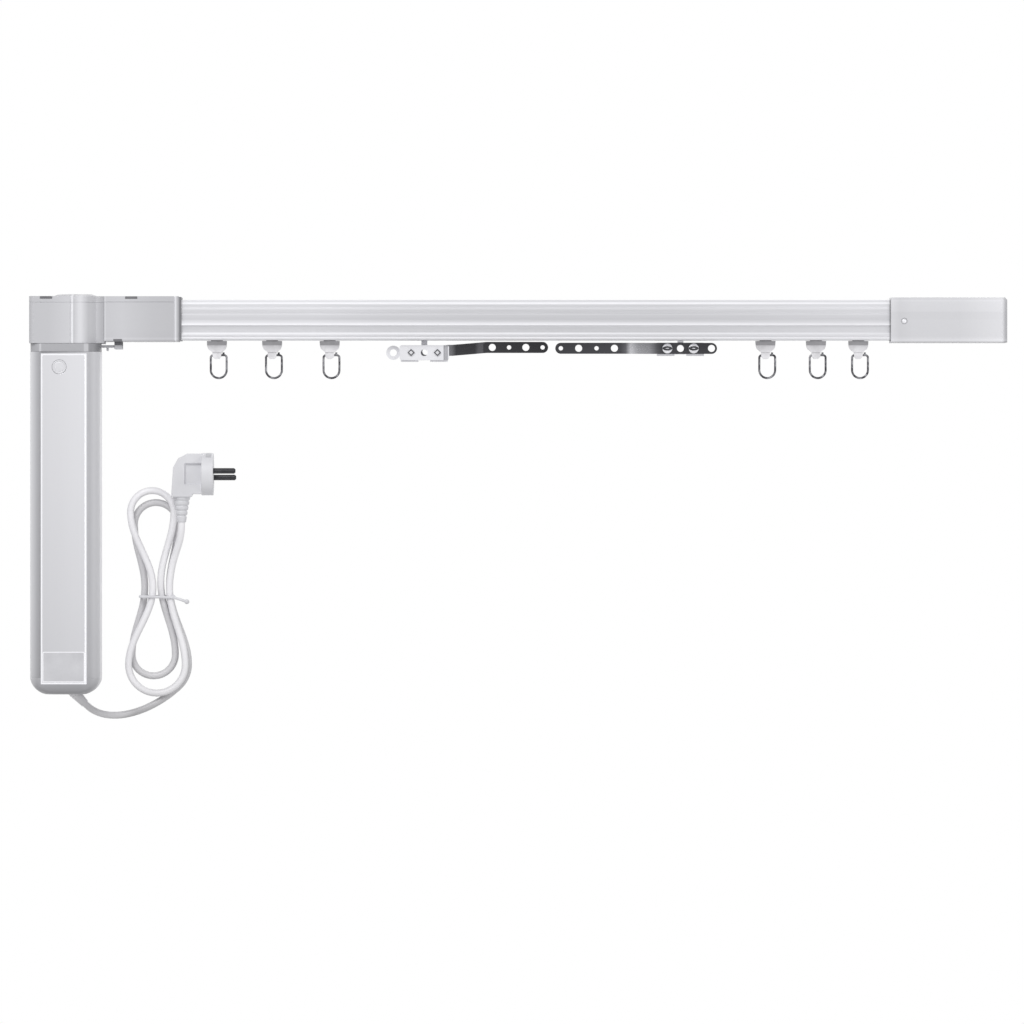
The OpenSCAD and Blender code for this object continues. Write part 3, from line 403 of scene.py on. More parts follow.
def finish(name, stops, axis=None, grain=(700, 700, 700), mottle=0.03, rough=(0.38, 0.5),
           metallic=0.0, bump=0.08, coat=0.0, drift=6.0, fades=(), lines=()):
    """A procedural finish. Stops are (place, colour): metres along an axis, or shares of a slow noise.
    Each fade is an axis with (millimetres, share) stops that dim the colour. Lines are stops of painted
    highlights along the finish's own axis, which the first fade doesn't dim."""
    material = bpy.data.materials.new(name)
    material.use_nodes = True
    tree = material.node_tree
    shader = tree.nodes["Principled BSDF"].inputs
    shader["Metallic"].default_value = metallic
    shader["Coat Weight"].default_value = coat
    where = tree.nodes.new("ShaderNodeTexCoord").outputs["Object"]
    if axis is None:
        slow = add(tree, "ShaderNodeTexNoise", Scale=drift, Vector=where)
        colour = ramp_of(tree, slow.outputs["Fac"], stops)
    else:
        colour = axis_ramp(tree, where, axis, stops)
    for number, (fade_axis, pairs) in enumerate(fades):
        dims = [(at * MM, (share, share, share, 1)) for at, share in pairs]
        colour = blended(tree, "MULTIPLY", colour, axis_ramp(tree, where, fade_axis, dims))
        if lines and number == 0:
            colour = blended(tree, "LIGHTEN", colour, axis_ramp(tree, where, axis, lines))
    spread = add(tree, "ShaderNodeMapping", Scale=grain, Vector=where)
    noise = add(tree, "ShaderNodeTexNoise", Scale=1.0, Detail=GRAIN_DETAIL, Vector=spread.outputs["Vector"])
    fine = noise.outputs["Fac"]
    darkest = (1 - mottle, 1 - mottle, 1 - mottle, 1)
    shade = ramp_of(tree, fine, [(NOISE_LOW, darkest), (NOISE_HIGH, (1, 1, 1, 1))])
    tree.links.new(blended(tree, "MULTIPLY", colour, shade), shader["Base Color"])
    gloss = add(tree, "ShaderNodeMapRange", From_Min=NOISE_LOW, From_Max=NOISE_HIGH, To_Min=rough[0],
                To_Max=rough[1], Value=fine)
    tree.links.new(gloss.outputs["Result"], shader["Roughness"])
    relief = add(tree, "ShaderNodeBump", Strength=bump, Distance=GRAIN_DEPTH, Height=fine)
    tree.links.new(relief.outputs["Normal"], shader["Normal"])
    return material


print("finish helper ready")

# %% [markdown]
# The rail is satin anodised aluminium with fine drawing lines along its length. Its tones up its height are
# painted light and shade: painted highlights on the ribs' crests and darker flats between them. A painted
# shadow darkens the rail where it enters the return box.

# %% Rail finish
# Each painted crest highlight's height, its grey level and its half width.
RAIL_CREST_HIGHLIGHTS = ((-32.1, 236, 1.8), (-28.5, 230, 1.4), (-20.9, 234, 3.2), (-2.8, 250, 2.2))
RAIL_FLAT_LEVEL = 190
# Painted light and shade up the rail's height, as millimetres and grey levels.
RAIL_PAINTED_SHADING = (
    (-34, 228), (-31, 217), (-27.5, 209), (-22.5, 208), (-20, 217), (-17.4, 201), (-13.4, 203),
    (-11.5, 216), (-9.2, 208), (-7.4, 217), (-6.4, 227), (-5, 216), (-1.3, 213), (-0.4, 237),
)
RAIL_DIM = (
    "X", ((-303, 1.0), (-188, 1.01), (-130, 0.94), (-65, 0.915), (110, 0.915), (200, 0.985), (281, 1.04)))
# A painted shadow where the rail enters the return box.
RAIL_END_SHADOW = ("X", ((299.8, 1.0), (300.7, 0.55), (301.5, 0.42)))
crest_highlight_stops = []
for at, level, reach in RAIL_CREST_HIGHLIGHTS:
    crest_highlight_stops += [(at - reach, RAIL_FLAT_LEVEL), (at, level), (at + reach, RAIL_FLAT_LEVEL)]
rail_satin = finish(
    "rail_satin", along_mm(*RAIL_PAINTED_SHADING), axis="Z", grain=(14, 1500, 1500), mottle=0.05, rough=(0.42, 0.54),
    metallic=0.2, bump=0.10, fades=(RAIL_DIM, RAIL_END_SHADOW), lines=along_mm(*crest_highlight_stops))
print("rail crests:", len(RAIL_CREST_HIGHLIGHTS))

# %% [markdown]
# The boxes are pale matt plastic. Their tones are painted light and shade: a little lighter or darker towards
# their edges, where the moulded faces lean away, with painted highlights on the head's crease and boss and at
# the adapter's edges, and painted shade at the adapter's right end and in bands up the boxes' heights.

# %% Box finishes
ADAPTER_PAINTED_SHADING = (
    (-367.4, 190), (-366, 214), (-365, 200), (-352, 204), (-326, 193), (-308, 190),
    (-306.8, 228), (-306, 228), (-305, 190), (-303.5, 180), (-302.9, 122), (-301, 112),
)
ADAPTER_PAINTED_SHADE = ("Z", ((-35.2, 0.84), (-34.3, 0.88), (-33.6, 1.06), (-32.4, 1.08), (-31.8, 0.98), (-25, 1.0)))
HEAD_PAINTED_SHADING = (
    (-431, 194), (-414, 196), (-398.5, 206), (-394.8, 208), (-393.9, 240), (-393.3, 240),
    (-392.4, 197), (-388, 222), (-386.2, 224), (-380, 191), (-374, 198), (-369, 180),
)
RETURN_PAINTED_SHADING = ((301, 232), (309, 221), (320, 226), (360, 227), (396, 242), (398, 210), (401, 202))
RETURN_PAINTED_SHADE = ("Z", (
    (-36, 0.72), (-35.2, 0.82), (-34.4, 1.0), (-33, 0.92), (-31, 0.868), (-17, 0.878),
    (-16.4, 0.862), (-10.6, 0.862), (-9.6, 0.905), (-1.6, 0.93), (-0.8, 0.99), (0.4, 0.91),
))
adapter_plastic = finish(
    "adapter_plastic", along_mm(*ADAPTER_PAINTED_SHADING), axis="X", mottle=0.015, fades=(ADAPTER_PAINTED_SHADE,))
head_plastic = finish("head_plastic", along_mm(*HEAD_PAINTED_SHADING), axis="X", mottle=0.015)
return_plastic = finish(
    "return_plastic", along_mm(*RETURN_PAINTED_SHADING), axis="X", mottle=0.015, fades=(RETURN_PAINTED_SHADE,))
print("box finishes: adapter, head and return box")

# %% [markdown]
# The motor case is a shade darker than the boxes, and dims towards its foot. Its tones across are painted
# light
# and shade: painted highlights at its edges and painted shade beside the front panel. The collar carries
# painted highlights in line with the panel's edges and painted shadow from the head at its right end. The
# panel is brushed along its length, a little darker towards its foot and its left, and has bright cut edges.

# %% Motor finishes
CASE_DIM = ("Z", ((-336, 0.70), (-326, 0.80), (-312, 0.86), (-260, 0.93), (-150, 0.98), (-45, 1.0)))
CASE_PAINTED_SHADING = (
    (-430, 252), (-427.1, 218), (-423.7, 182), (-419, 140),
    (-382, 188), (-379, 184), (-372.8, 209), (-369.4, 238),
)
CAP_PAINTED_SHADING = (
    (-430, 252), (-427.1, 218), (-423.7, 188), (-416, 178),
    (-386, 176), (-379, 182), (-372.8, 205), (-369.4, 236),
)
COLLAR_PAINTED_SHADING = (
    (-430, 176), (-421.8, 176), (-421.3, 202), (-420.2, 202), (-419.5, 174), (-384, 174),
    (-383.2, 198), (-380.2, 196), (-379.4, 150), (-372, 132), (-370, 140),
)
PANEL_TONES = ((-327, 209), (-250, 216), (-150, 222), (-45, 225))
PANEL_DIM = ("X", ((-420, 0.93), (-405, 0.955), (-392, 0.99), (-385, 1.0)))
case_grey, cap_grey = [
    finish(name, along_mm(*tones), axis="X", grain=(900, 900, 120), mottle=0.02, rough=(0.36, 0.48),
           bump=0.04, fades=(CASE_DIM,))
    for name, tones in (("case_grey", CASE_PAINTED_SHADING), ("cap_grey", CAP_PAINTED_SHADING))
]
collar_grey = finish("collar_grey", along_mm(*COLLAR_PAINTED_SHADING), axis="X")
panel_satin = finish(
    "panel_satin", along_mm(*PANEL_TONES), axis="Z", grain=(1400, 1400, 18), mottle=0.01, rough=(0.34, 0.42),
    bump=0.02, coat=0.1, fades=(PANEL_DIM,))
panel_edge = finish("panel_edge", between(246, 252), rough=(0.1, 0.16), metallic=0.9, mottle=0.01)
print("motor finishes: case, cap, collar, panel and its edges")

# %% [markdown]
# Small parts drift between two near tones on a slow noise, which keeps white plastic, steel and rubber from
# looking painted in one flat colour. The lead is darker as painted shade towards its lowest turns and where
# it lies behind other turns.

# %% Small part finishes
# The latch bracket is dark at its top as painted shadow under the adapter, and light below.
LATCH_PAINTED_SHADOW = ((-42, 208), (-38.6, 206), (-38.2, 112), (-34, 100))
# Painted shade where the lead lies behind other turns.
LEAD_SHADE_BEHIND = (
    "Y", ((12.2, 1.0), (13.4, 0.94), (15.3, 0.70), (18, 0.76), (20.4, 0.70), (22, 0.54), (25, 0.8)))
# Painted shade on the lead's lowest turns.
LEAD_LOW_SHADE = ("Z", ((-357, 0.62), (-348, 0.74), (-340, 0.82), (-332, 0.9), (-322, 1.0)))
roller_white = finish("roller_white", between(214, 228), drift=60)
block_white = finish("block_white", between(230, 238), drift=40, mottle=0.02)
# A darker grey for painted shade on the left block's groove floor.
groove_painted_shade = finish("groove_painted_shade", between(172, 188), drift=80)
screw_steel = finish("screw_steel", between(196, 226), grain=(1500, 1500, 1500), mottle=0.06,
                     rough=(0.2, 0.3), metallic=0.7, drift=120)
# Near white for painted highlights on the screw domes and a painted glint on the return screw.
painted_glint = finish("painted_glint", between(232, 248), rough=(0.16, 0.24), metallic=0.2, drift=120)
strip_grey = finish("strip_grey", between(184, 200), metallic=0.4, rough=(0.3, 0.4), drift=90)
# Dark for painted shade in the screw slots and the square recesses.
recess_painted_shade = finish("recess_painted_shade", between(52, 74), metallic=0.3, drift=120)
ring_wire = finish("ring_wire", [(0.36, grey(52)), (0.5, grey(98)), (0.62, grey(146))],
                   grain=(900, 900, 900), mottle=0.08, rough=(0.16, 0.26), metallic=0.7, drift=230)
glider_grey = finish("glider_grey", between(220, 242, 1), drift=160)
glider_band = finish("glider_band", between(170, 186, 1), drift=90)
belt_rubber = finish("belt_rubber", between(44, 64), mottle=0.15, rough=(0.6, 0.8), drift=40)
latch_dark = finish("latch_dark", between(92, 120), drift=80)
latch_split = finish("latch_split", along_mm(*LATCH_PAINTED_SHADOW), axis="Z")
latch_light = finish("latch_light", between(196, 216), drift=80)
lead_white = finish("lead_white", between(236, 246, 1), grain=(500, 500, 500), mottle=0.02,
                    rough=(0.34, 0.44), drift=30, fades=(LEAD_SHADE_BEHIND, LEAD_LOW_SHADE))
plug_white = finish("plug_white", between(211, 222), mottle=0.02, rough=(0.4, 0.5), drift=40)
pin_dark = finish("pin_dark", between(38, 58), metallic=0.5, rough=(0.25, 0.35), drift=90)
tie_white = finish("tie_white", between(208, 226), drift=90)
board_green = finish(
    "board_green", [(NOISE_LOW, tone(28, 82, 52)), (NOISE_HIGH, tone(44, 108, 70))], drift=90)
foil_blank = finish("foil_blank", between(196, 208), rough=(0.3, 0.4), metallic=0.3, drift=60)
mains_lead.data.materials.append(lead_white)
print("finishes:", len(bpy.data.materials))

# %% [markdown]
# A solid has sharp edges, and no moulded or extruded piece has. A welded copy of a solid gets a small round
# on every sharp edge, which catches the light. Its flat faces are joined up first, so the rounds run clean.

# %% Welded copies with soft edges
WELD = 0.002 * MM
FLAT_ANGLE = math.radians(0.6)
SHARP_ANGLE = math.radians(35)


def settle(piece):
    """Turns what the modifiers make into a plain mesh."""
    bpy.context.view_layer.update()
    graph = bpy.context.evaluated_depsgraph_get()
    made = bpy.data.meshes.new_from_object(piece.evaluated_get(graph))
    piece.modifiers.clear()
    if len(made.materials) > 1 and made.materials[0] is None:
        made.materials.pop(index=0)
    piece.data = made
    return piece


def mesh_of(name, shape):
    """A mesh from a working shape, which is then let go."""
    mesh = bpy.data.meshes.new(name)
    shape.to_mesh(mesh)
    shape.free()
    return mesh


def new_piece(name, mesh):
    """An object in the scene, at the origin."""
    piece = bpy.data.objects.new(name, mesh)
    scene.collection.objects.link(piece)
    return piece


def closed_piece(name, shape, material):
    """A piece from a closed working shape, with its faces turned outwards."""
    bmesh.ops.recalc_face_normals(shape, faces=shape.faces)
    mesh = mesh_of(name, shape)
    mesh.materials.append(material)
    return new_piece(name, mesh)


def keep(piece, body, slot, *nodes):
    """Rides on a body and stands for solids. Its slot is not used."""
    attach(piece, body)
    if nodes:
        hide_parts(*nodes)
    print(piece.name, len(piece.data.polygons), "faces on", body)
    return piece


def only_finish(mesh, material):
    """Gives a whole mesh one finish."""
    mesh.materials.clear()
    mesh.materials.append(material)


def second_finish(piece, material, chosen):
    """Gives the chosen faces of a piece a second finish."""
    piece.data.materials.append(material)
    for face in piece.data.polygons:
        face.material_index = 1 if chosen(face) else 0


def welded(node):
    """A copy of a solid with its corners welded and its flat faces joined up."""
    shape = bmesh.new()
    shape.from_mesh(frame["nodes"][node].data)
    bmesh.ops.remove_doubles(shape, verts=shape.verts, dist=WELD)
    bmesh.ops.dissolve_limit(shape, angle_limit=FLAT_ANGLE, verts=shape.verts, edges=shape.edges)
    for face in shape.faces:
        face.smooth = True
    return new_piece(node + "_dressed", mesh_of(node + "_dressed", shape))


def soften(piece, width):
    """Rounds every sharp edge by a width in millimetres."""
    rounds = piece.modifiers.new("soft_edges", "BEVEL")
    rounds.width = width * MM
    rounds.segments = 2
    rounds.limit_method = "ANGLE"
    rounds.angle_limit = SHARP_ANGLE
    rounds.miter_outer = "MITER_ARC"
    weigh = piece.modifiers.new("even_normals", "WEIGHTED_NORMAL")
    weigh.keep_sharp = True
    return settle(piece)


def dressed(node, material, slot, width):
    """A soft-edged copy that stands for its solid."""
    piece = soften(welded(node), width)
    only_finish(piece.data, material)
    return keep(piece, BODY_OF[node], slot, node)


print("copies are welded within", round(WELD / MM, 4), "mm")

# %% [markdown]
# Geometry Nodes make what follows a path or repeats. Two small trees serve most of it: one sweeps a round
# wire along a line of edges, and one sets a shape on every point. Each ends in Realize Instances and Set
# Material.

# %% Node tree helpers
def start_tree(name, *sizes):
    """A tree with a mesh in, a mesh out and named sizes, which grow fills in."""
    tree = bpy.data.node_groups.new(name, "GeometryNodeTree")
    tree.interface.new_socket("Geometry", in_out="INPUT", socket_type="NodeSocketGeometry")
    for label in sizes:
        tree.interface.new_socket(label, in_out="INPUT", socket_type="NodeSocketFloat")
    tree.interface.new_socket("Geometry", in_out="OUTPUT", socket_type="NodeSocketGeometry")
    entry = tree.nodes.new("NodeGroupInput")
    return tree, entry.outputs


def end_tree(tree, last, material):
    """Closes a tree: real geometry with one finish."""
    real = add(tree, "GeometryNodeRealizeInstances", Geometry=last)
    dress = add(tree, "GeometryNodeSetMaterial", Geometry=real, Material=material)
    add(tree, "NodeGroupOutput", Geometry=dress)
    return tree


def end_on_points(tree, points, shape, material, **placing):
    """Closes a tree that sets a shape on every point."""
    row = add(tree, "GeometryNodeInstanceOnPoints", Points=points, Instance=shape, **placing)
    return end_tree(tree, row, material)


def rounded_line(tree, edges, corner, count):
    """A curve along edges, with its corners rounded."""
    line = add(tree, "GeometryNodeMeshToCurve", Mesh=edges)
    bend = add(tree, "GeometryNodeFilletCurve", Curve=line, Radius=corner, Limit_Radius=True)
    bend.mode = "POLY"
    bend.inputs["Count"].default_value = count
    return bend


def grow(name, points, edges, tree, **sizes):
    """Runs a tree on loose points and edges, given in millimetres, and keeps the mesh it makes."""
    seed = bpy.data.meshes.new(name)
    seed.from_pydata([tuple(Vector(p) * MM) for p in points], edges, [])
    piece = new_piece(name, seed)
    modifier = piece.modifiers.new("grow", "NODES")
    modifier.node_group = tree
    for item in tree.interface.items_tree:
        if item.in_out == "INPUT" and item.name in sizes:
            modifier[item.identifier] = sizes[item.name] * MM
    return settle(piece)


def chain(count, closed=False):
    """Edges from each point to the next."""
    edges = [(i, i + 1) for i in range(count - 1)]
    return edges + [(count - 1, 0)] if closed else edges


def wire_tree(name, material):
    """A round wire along a line, with its corners rounded."""
    tree, sizes = start_tree(name, "Wire", "Corner")
    bend = rounded_line(tree, sizes[0], sizes["Corner"], 8)
    section = add(tree, "GeometryNodeCurvePrimitiveCircle", Resolution=16, Radius=sizes["Wire"])
    wire = add(tree, "GeometryNodeCurveToMesh", Curve=bend, Profile_Curve=section, Fill_Caps=True)
    smooth = add(tree, "GeometryNodeSetShadeSmooth", Geometry=wire)
    return end_tree(tree, smooth, material)


print("node tree helpers ready")

# %% [markdown]
# The rail is an extrusion: one section drawn along its whole length. The tree does just that. It takes half
# the section mirrored to a closed outline, rounds every corner a little, and sweeps it from end to end.

# %% Rail
RAIL_HALF_LENGTH = 331.5
RAIL_CORNER = 0.2
RAIL_SIDE = (
    (0, -5.6), (11.5, -5.6), (11.5, -1.6), (6, -1.6), (6, 0), (14.3, 0), (15.2, -0.9),
    (15.2, -6.1), (14.8, -6.4), (15.2, -6.7), (15.2, -11.2), (14.8, -11.5), (15.2, -11.8), (15.2, -16.8),
    (16, -21.1), (16, -21.8), (14.9, -22.2), (14.9, -27.5), (16, -29.8), (16, -31.1), (15.5, -31.4),
    (16, -31.7), (16, -33.2), (15.2, -34), (4.5, -34), (4.5, -32.2), (13.4, -32.2), (13.4, -19.3),
    (8.5, -19.3), (8.5, -18.1), (13.4, -18.1), (13.4, -7), (0, -7),
)
section = list(RAIL_SIDE) + [(-y, z) for y, z in reversed(RAIL_SIDE[1:-1])]
rail_tree, rail_sizes = start_tree("drawn_rail", "Half_length", "Corner")
eased = rounded_line(rail_tree, rail_sizes[0], rail_sizes["Corner"], 2)
minus = add(rail_tree, "ShaderNodeMath")
minus.operation = "MULTIPLY"
minus.inputs[1].default_value = -1.0
rail_tree.links.new(rail_sizes["Half_length"], minus.inputs[0])
left_end = add(rail_tree, "ShaderNodeCombineXYZ", X=minus)
right_end = add(rail_tree, "ShaderNodeCombineXYZ", X=rail_sizes["Half_length"])
run = add(rail_tree, "GeometryNodeCurvePrimitiveLine", Start=left_end, End=right_end)
drawn = add(rail_tree, "GeometryNodeCurveToMesh", Curve=run, Profile_Curve=eased, Fill_Caps=True)
end_tree(rail_tree, drawn, rail_satin)
rail = grow("rail", [(-y, -z, 0) for y, z in section], chain(len(section), True), rail_tree,
            Half_length=RAIL_HALF_LENGTH, Corner=RAIL_CORNER)
keep(rail, "track", "rail", "track_rail")

# %% [markdown]
# The drive head, the adapter and the return box are moulded shells. Their solids have the right shape,
# so they only need soft edges and the pale matt plastic.

# %% Head, adapter and return box
for node, material, width in (
    ("track_adapter", adapter_plastic, 0.3),
    ("drive_housing", head_plastic, 0.5),
    ("drive_cover", head_plastic, 0.5),
    ("return_housing", return_plastic, 0.5),
    ("return_cover", return_plastic, 0.3),
):
    dressed(node, material, "housing", width)
dressed("return_screw", foil_blank, "steel", 0.15)

# %% [markdown]
# The motor is a long rounded tube under a collar, with a bevelled panel on its front and a cap at the foot.
# The tube's front is darker beside the panel as painted shade, so its rear takes the cap's plainer finish.
# The panel's cut edges are brighter than its face, so faces that lean off the front take a second finish.

# %% Motor
CASE_FRONT_Y = -26.02
SIDEWAYS = 0.3
SQUARE_ON = 0.95


def is_cut_edge(face):
    """A face of the panel that stands proud of the case and leans off the front."""
    leans = -SQUARE_ON < face.normal.y and abs(face.normal.y) > SIDEWAYS
    return leans and face.center.y < CASE_FRONT_Y * MM


tube = dressed("motor_tube", case_grey, "motor_case", 0.3)
second_finish(tube, cap_grey, lambda face: face.normal.y > SIDEWAYS)
dressed("motor_collar", collar_grey, "motor_case", 0.4)
panel = dressed("motor_panel", panel_satin, "panel", 0.15)
second_finish(panel, panel_edge, is_cut_edge)

# %% [markdown]
# The cap's lower corners are drawn in on a soft curve, a little flatter than a quarter circle. Levels of a
# rounded rectangle follow that curve down, and faces join each level to the next.

# %% Motor cap
CASE_HALF = (29.75, 26.0)
CASE_ROUND = 9.6
CAP_TALL = 14.0
CAP_POWER = 1.7
CAP_SIDE_ROUND = 7.0
CAP_SIDE_POWER = 2.0
CAP_LEVELS = 20
CAP_CORNER_COUNT = 9


def drawn_in(depth, reach, power):
    """How far an edge is drawn in at a depth on a rounding of some reach."""
    share = min(1.0, max(0.0, depth / reach))
    return reach * (1 - (1 - share ** power) ** (1 / power))


def rounded_rectangle(low, high, radius, count):
    """An outline between two corners, with round corners of some points each."""
    left, right = low[0] + radius, high[0] - radius
    lower, upper = low[1] + radius, high[1] - radius
    step = 90 / (count - 1)
    outline = []
    for quarter, (x, y) in enumerate(((right, upper), (left, upper), (left, lower), (right, lower))):
        for k in range(count):
            turn = math.radians(90 * quarter + step * k)
            outline.append((x + radius * math.cos(turn), y + radius * math.sin(turn)))
    return outline


cap_shape = bmesh.new()
cap_levels = []
for k in range(CAP_LEVELS + 1):
    depth = CAP_TALL * math.sin(math.pi / 2 * k / CAP_LEVELS)
    half_x = CASE_HALF[0] - drawn_in(depth, CAP_TALL, CAP_POWER)
    half_y = CASE_HALF[1] - drawn_in(depth - CAP_TALL + CAP_SIDE_ROUND, CAP_SIDE_ROUND, CAP_SIDE_POWER)
    outline = rounded_rectangle((-half_x, -half_y), (half_x, half_y), CASE_ROUND, CAP_CORNER_COUNT)
    cap_levels.append([cap_shape.verts.new(at_motor(x, y, CAP_TALL - depth) * MM) for x, y in outline])
for upper, lower in zip(cap_levels, cap_levels[1:]):
    for k in range(len(upper)):
        after = (k + 1) % len(upper)
        cap_shape.faces.new((upper[k], lower[k], lower[after], upper[after])).smooth = True
cap_shape.faces.new(cap_levels[0])
cap_shape.faces.new(reversed(cap_levels[-1])).smooth = True
cap = closed_piece("motor_cap_dressed", cap_shape, cap_grey)
keep(cap, "track", "motor_case", "motor_cap")

# %% [markdown]
# Thin upright plates with round corners stand for small flat things. Two dark plates fill the snap windows at
# the upper edge of the head and of the adapter, and a dark plate at the latch is painted shadow under the
# adapter. A plain foil plate sits at the panel's foot: a pale border with a slightly raised blank field.

# %% Snaps, latch shadow and blank plate
SNAP_HALF = 4.9
SNAP_LOW, SNAP_HIGH = 0.95, 2.95
SNAP_THICK = 1.1
PLATE_CORNER_COUNT = 7


def rounded_plate(name, low, high, front, back, radius, material, slot):
    """An upright plate with round corners, in millimetres. Low and high are (x, z)."""
    corners = rounded_rectangle(low, high, radius, PLATE_CORNER_COUNT)
    count = len(corners)
    shape = bmesh.new()
    near, far = [[shape.verts.new((x * MM, y * MM, z * MM)) for x, z in corners] for y in (front, back)]
    shape.faces.new(near)
    shape.faces.new(reversed(far))
    for i in range(count):
        after = (i + 1) % count
        shape.faces.new((near[i], far[i], far[after], near[after]))
    return keep(closed_piece(name, shape, material), "track", slot)


for name, x, front in (("head_snap", -415.7, -25.9), ("adapter_snap", -343.8, -18.0)):
    rounded_plate(name, (x - SNAP_HALF, SNAP_LOW), (x + SNAP_HALF, SNAP_HIGH), front, front + SNAP_THICK, 0.5,
                  latch_dark, "latch_dark")
# A dark plate as painted shadow under the adapter where the latch goes in.
rounded_plate("latch_shadow_plate", (-359.0, -35.1), (-351.6, -33.3), -18.3, -17.6, 0.4, latch_dark, "latch_dark")
rounded_plate("plate_border", (-418.6, -324.6), (-382.9, -298.8), -27.28, -27.1, 1.2, panel_edge, "panel")
rounded_plate("plate_field", (-417.9, -323.9), (-383.6, -299.5), -27.34, -27.2, 0.9, foil_blank, "panel")

# %% [markdown]
# Round pieces are turned, as on a lathe: a profile goes round an axis that points at the viewer. The return
# box's screw gets a bright disc in its socket as a painted glint. The set button is a domed face inside a
# fine ring groove.

# %% Return screw and set button
RETURN_SCREW = (312.8, -18.0)
SCREW_PROFILE = ((0, -17.78), (0.9, -17.74), (1.5, -17.66), (1.7, -17.5), (1.7, -16.6), (0, -16.6))
BUTTON_MIDDLE = (-404.55, -57.1)
BUTTON_PROFILE = (
    (0, -27.62), (2.0, -27.6), (3.6, -27.52), (4.2, -27.46), (4.4, -27.3), (4.7, -27.3), (4.9, -27.7),
    (5.3, -27.8), (5.7, -27.74), (6.0, -27.4), (6.0, -26.1), (0, -26.1),
)


def turned(name, profile, middle, count, material):
    """A piece turned about an axis along Y. Profile is (radius, y) from front to back, in millimetres."""
    shape = bmesh.new()
    rings = []
    for radius, y in profile:
        ring = []
        for k in range(count if radius else 1):
            turn = 2 * math.pi * k / count
            x = middle[0] + radius * math.cos(turn)
            z = middle[1] + radius * math.sin(turn)
            ring.append(shape.verts.new((x * MM, y * MM, z * MM)))
        rings.append(ring)
    for one, two in zip(rings, rings[1:]):
        for k in range(count):
            loop = [one[k % len(one)], one[(k + 1) % len(one)], two[(k + 1) % len(two)], two[k % len(two)]]
            shape.faces.new(list(dict.fromkeys(loop)))
    for face in shape.faces:
        face.smooth = True
    return closed_piece(name, shape, material)


glint = turned("return_screw_glint", SCREW_PROFILE, RETURN_SCREW, 24, painted_glint)
keep(glint, "track", "steel")
button = turned("set_button_dressed", BUTTON_PROFILE, BUTTON_MIDDLE, 48, panel_satin)
keep(button, "set_button", "panel", "set_button")

# %% [markdown]
# A slide latch under the adapter locks the motor to the head. Its thumb tab has grip ribs, which repeat, so
# a tree sets a small ridge on each of a row of points.

# %% Latch
RIDGE_X = -365.35
RIDGE_LOW_Z = -42.6
RIDGE_STEP = 0.8
dressed("latch_bracket", latch_split, "latch_dark", 0.25)
dressed("motor_latch", latch_light, "latch_dark", 0.25)
ridge_tree, ridge_sizes = start_tree("grip_ridges", "Length", "Thickness")
ridge_size = add(ridge_tree, "ShaderNodeCombineXYZ", X=ridge_sizes["Thickness"], Y=ridge_sizes["Length"],
                 Z=ridge_sizes["Thickness"])
ridge = add(ridge_tree, "GeometryNodeMeshCube", Size=ridge_size)
ridge_turn = add(ridge_tree, "GeometryNodeTransform", Geometry=ridge, Rotation=(0, math.radians(45), 0))
end_on_points(ridge_tree, ridge_sizes[0], ridge_turn, latch_light)
ridge_points = [(RIDGE_X, 0, RIDGE_LOW_Z + RIDGE_STEP * k) for k in range(3)]
latch_ridges = grow("latch_ridges", ridge_points, [], ridge_tree, Length=8.6, Thickness=0.4)
keep(latch_ridges, "motor_latch", "latch_dark")

# %% [markdown]
# Each carrier is a white truck inside the rail with a hanger block and a cranked steel arm below it.
# Each arm's steel gets painted light along its length: a painted highlight on the right-hand crank, which
# leans towards the light, and on the left-hand arm's crease. The left block's front groove floor is a darker
# grey as painted shade.

# %% Carriers
GROOVE_BACK_Y, GROOVE_FRONT_Y = -7.3, -8.4
FACING_FRONT = -0.9
# Painted light along each arm: highlights on the right crank and on the left crease.
ARM_PAINTED_LIGHT = {
    "left": ((-73, 130), (-68, 50), (-52, 50), (-49, 94), (-45.6, 98), (-44.4, 54), (9, 42)),
    "right": (
        (16, 52), (72, 62), (76.5, 94), (80.6, 196), (87, 156), (96.5, 146), (103, 86), (107, 62), (155, 52)),
}


def is_groove_floor(face):
    """A face at the depth of the groove that looks to the front."""
    return GROOVE_FRONT_Y * MM < face.center.y < GROOVE_BACK_Y * MM and face.normal.y < FACING_FRONT


for side in ("left", "right"):
    dressed(f"{side}_truck", block_white, "white_plastic", 0.25)
    block = dressed(f"{side}_block", block_white, "white_plastic", 0.5)
    second_finish(block, groove_painted_shade, lambda face: side == "left" and is_groove_floor(face))
    arm_steel = finish(
        f"{side}_arm_steel", along_mm(*ARM_PAINTED_LIGHT[side]), axis="X", grain=(60, 1500, 1500), mottle=0.03,
        rough=(0.20, 0.30), metallic=0.35, bump=0.04)
    dressed(f"{side}_arm", arm_steel, "arm", 0.2)
    dressed(f"{side}_screws", screw_steel, "steel", 0.12)
    for pair in ("inner", "outer"):
        dressed(f"{side}_wheels_{pair}", roller_white, "roller", 0.3)

# %% [markdown]
# The screw heads on the right arm are low domes with a wide oval slot and a thin bar in it, near white as a
# painted highlight. Screws repeat, so a tree cuts one dome with an oval, adds the bar, and sets the head on
# each screw's point.

# %% Screw heads
SCREW_OFF = 11.2
CARRIER_X = {"left": -95.0, "right": 123.0}
ARM_Z = {"left": -44.65, "right": -40.95}


def screw_points(side, y):
    """The places of a carrier's two screws at some depth."""
    return [(CARRIER_X[side] + s * SCREW_OFF, y, ARM_Z[side]) for s in (-1, 1)]


def dome(tree, width, height, tall):
    """A ball of three half sizes along X, Y and Z."""
    scale = add(tree, "ShaderNodeCombineXYZ", X=width, Y=height, Z=tall)
    ball = add(tree, "GeometryNodeMeshUVSphere", Segments=32, Rings=16, Radius=1.0)
    return add(tree, "GeometryNodeTransform", Geometry=ball, Scale=scale)


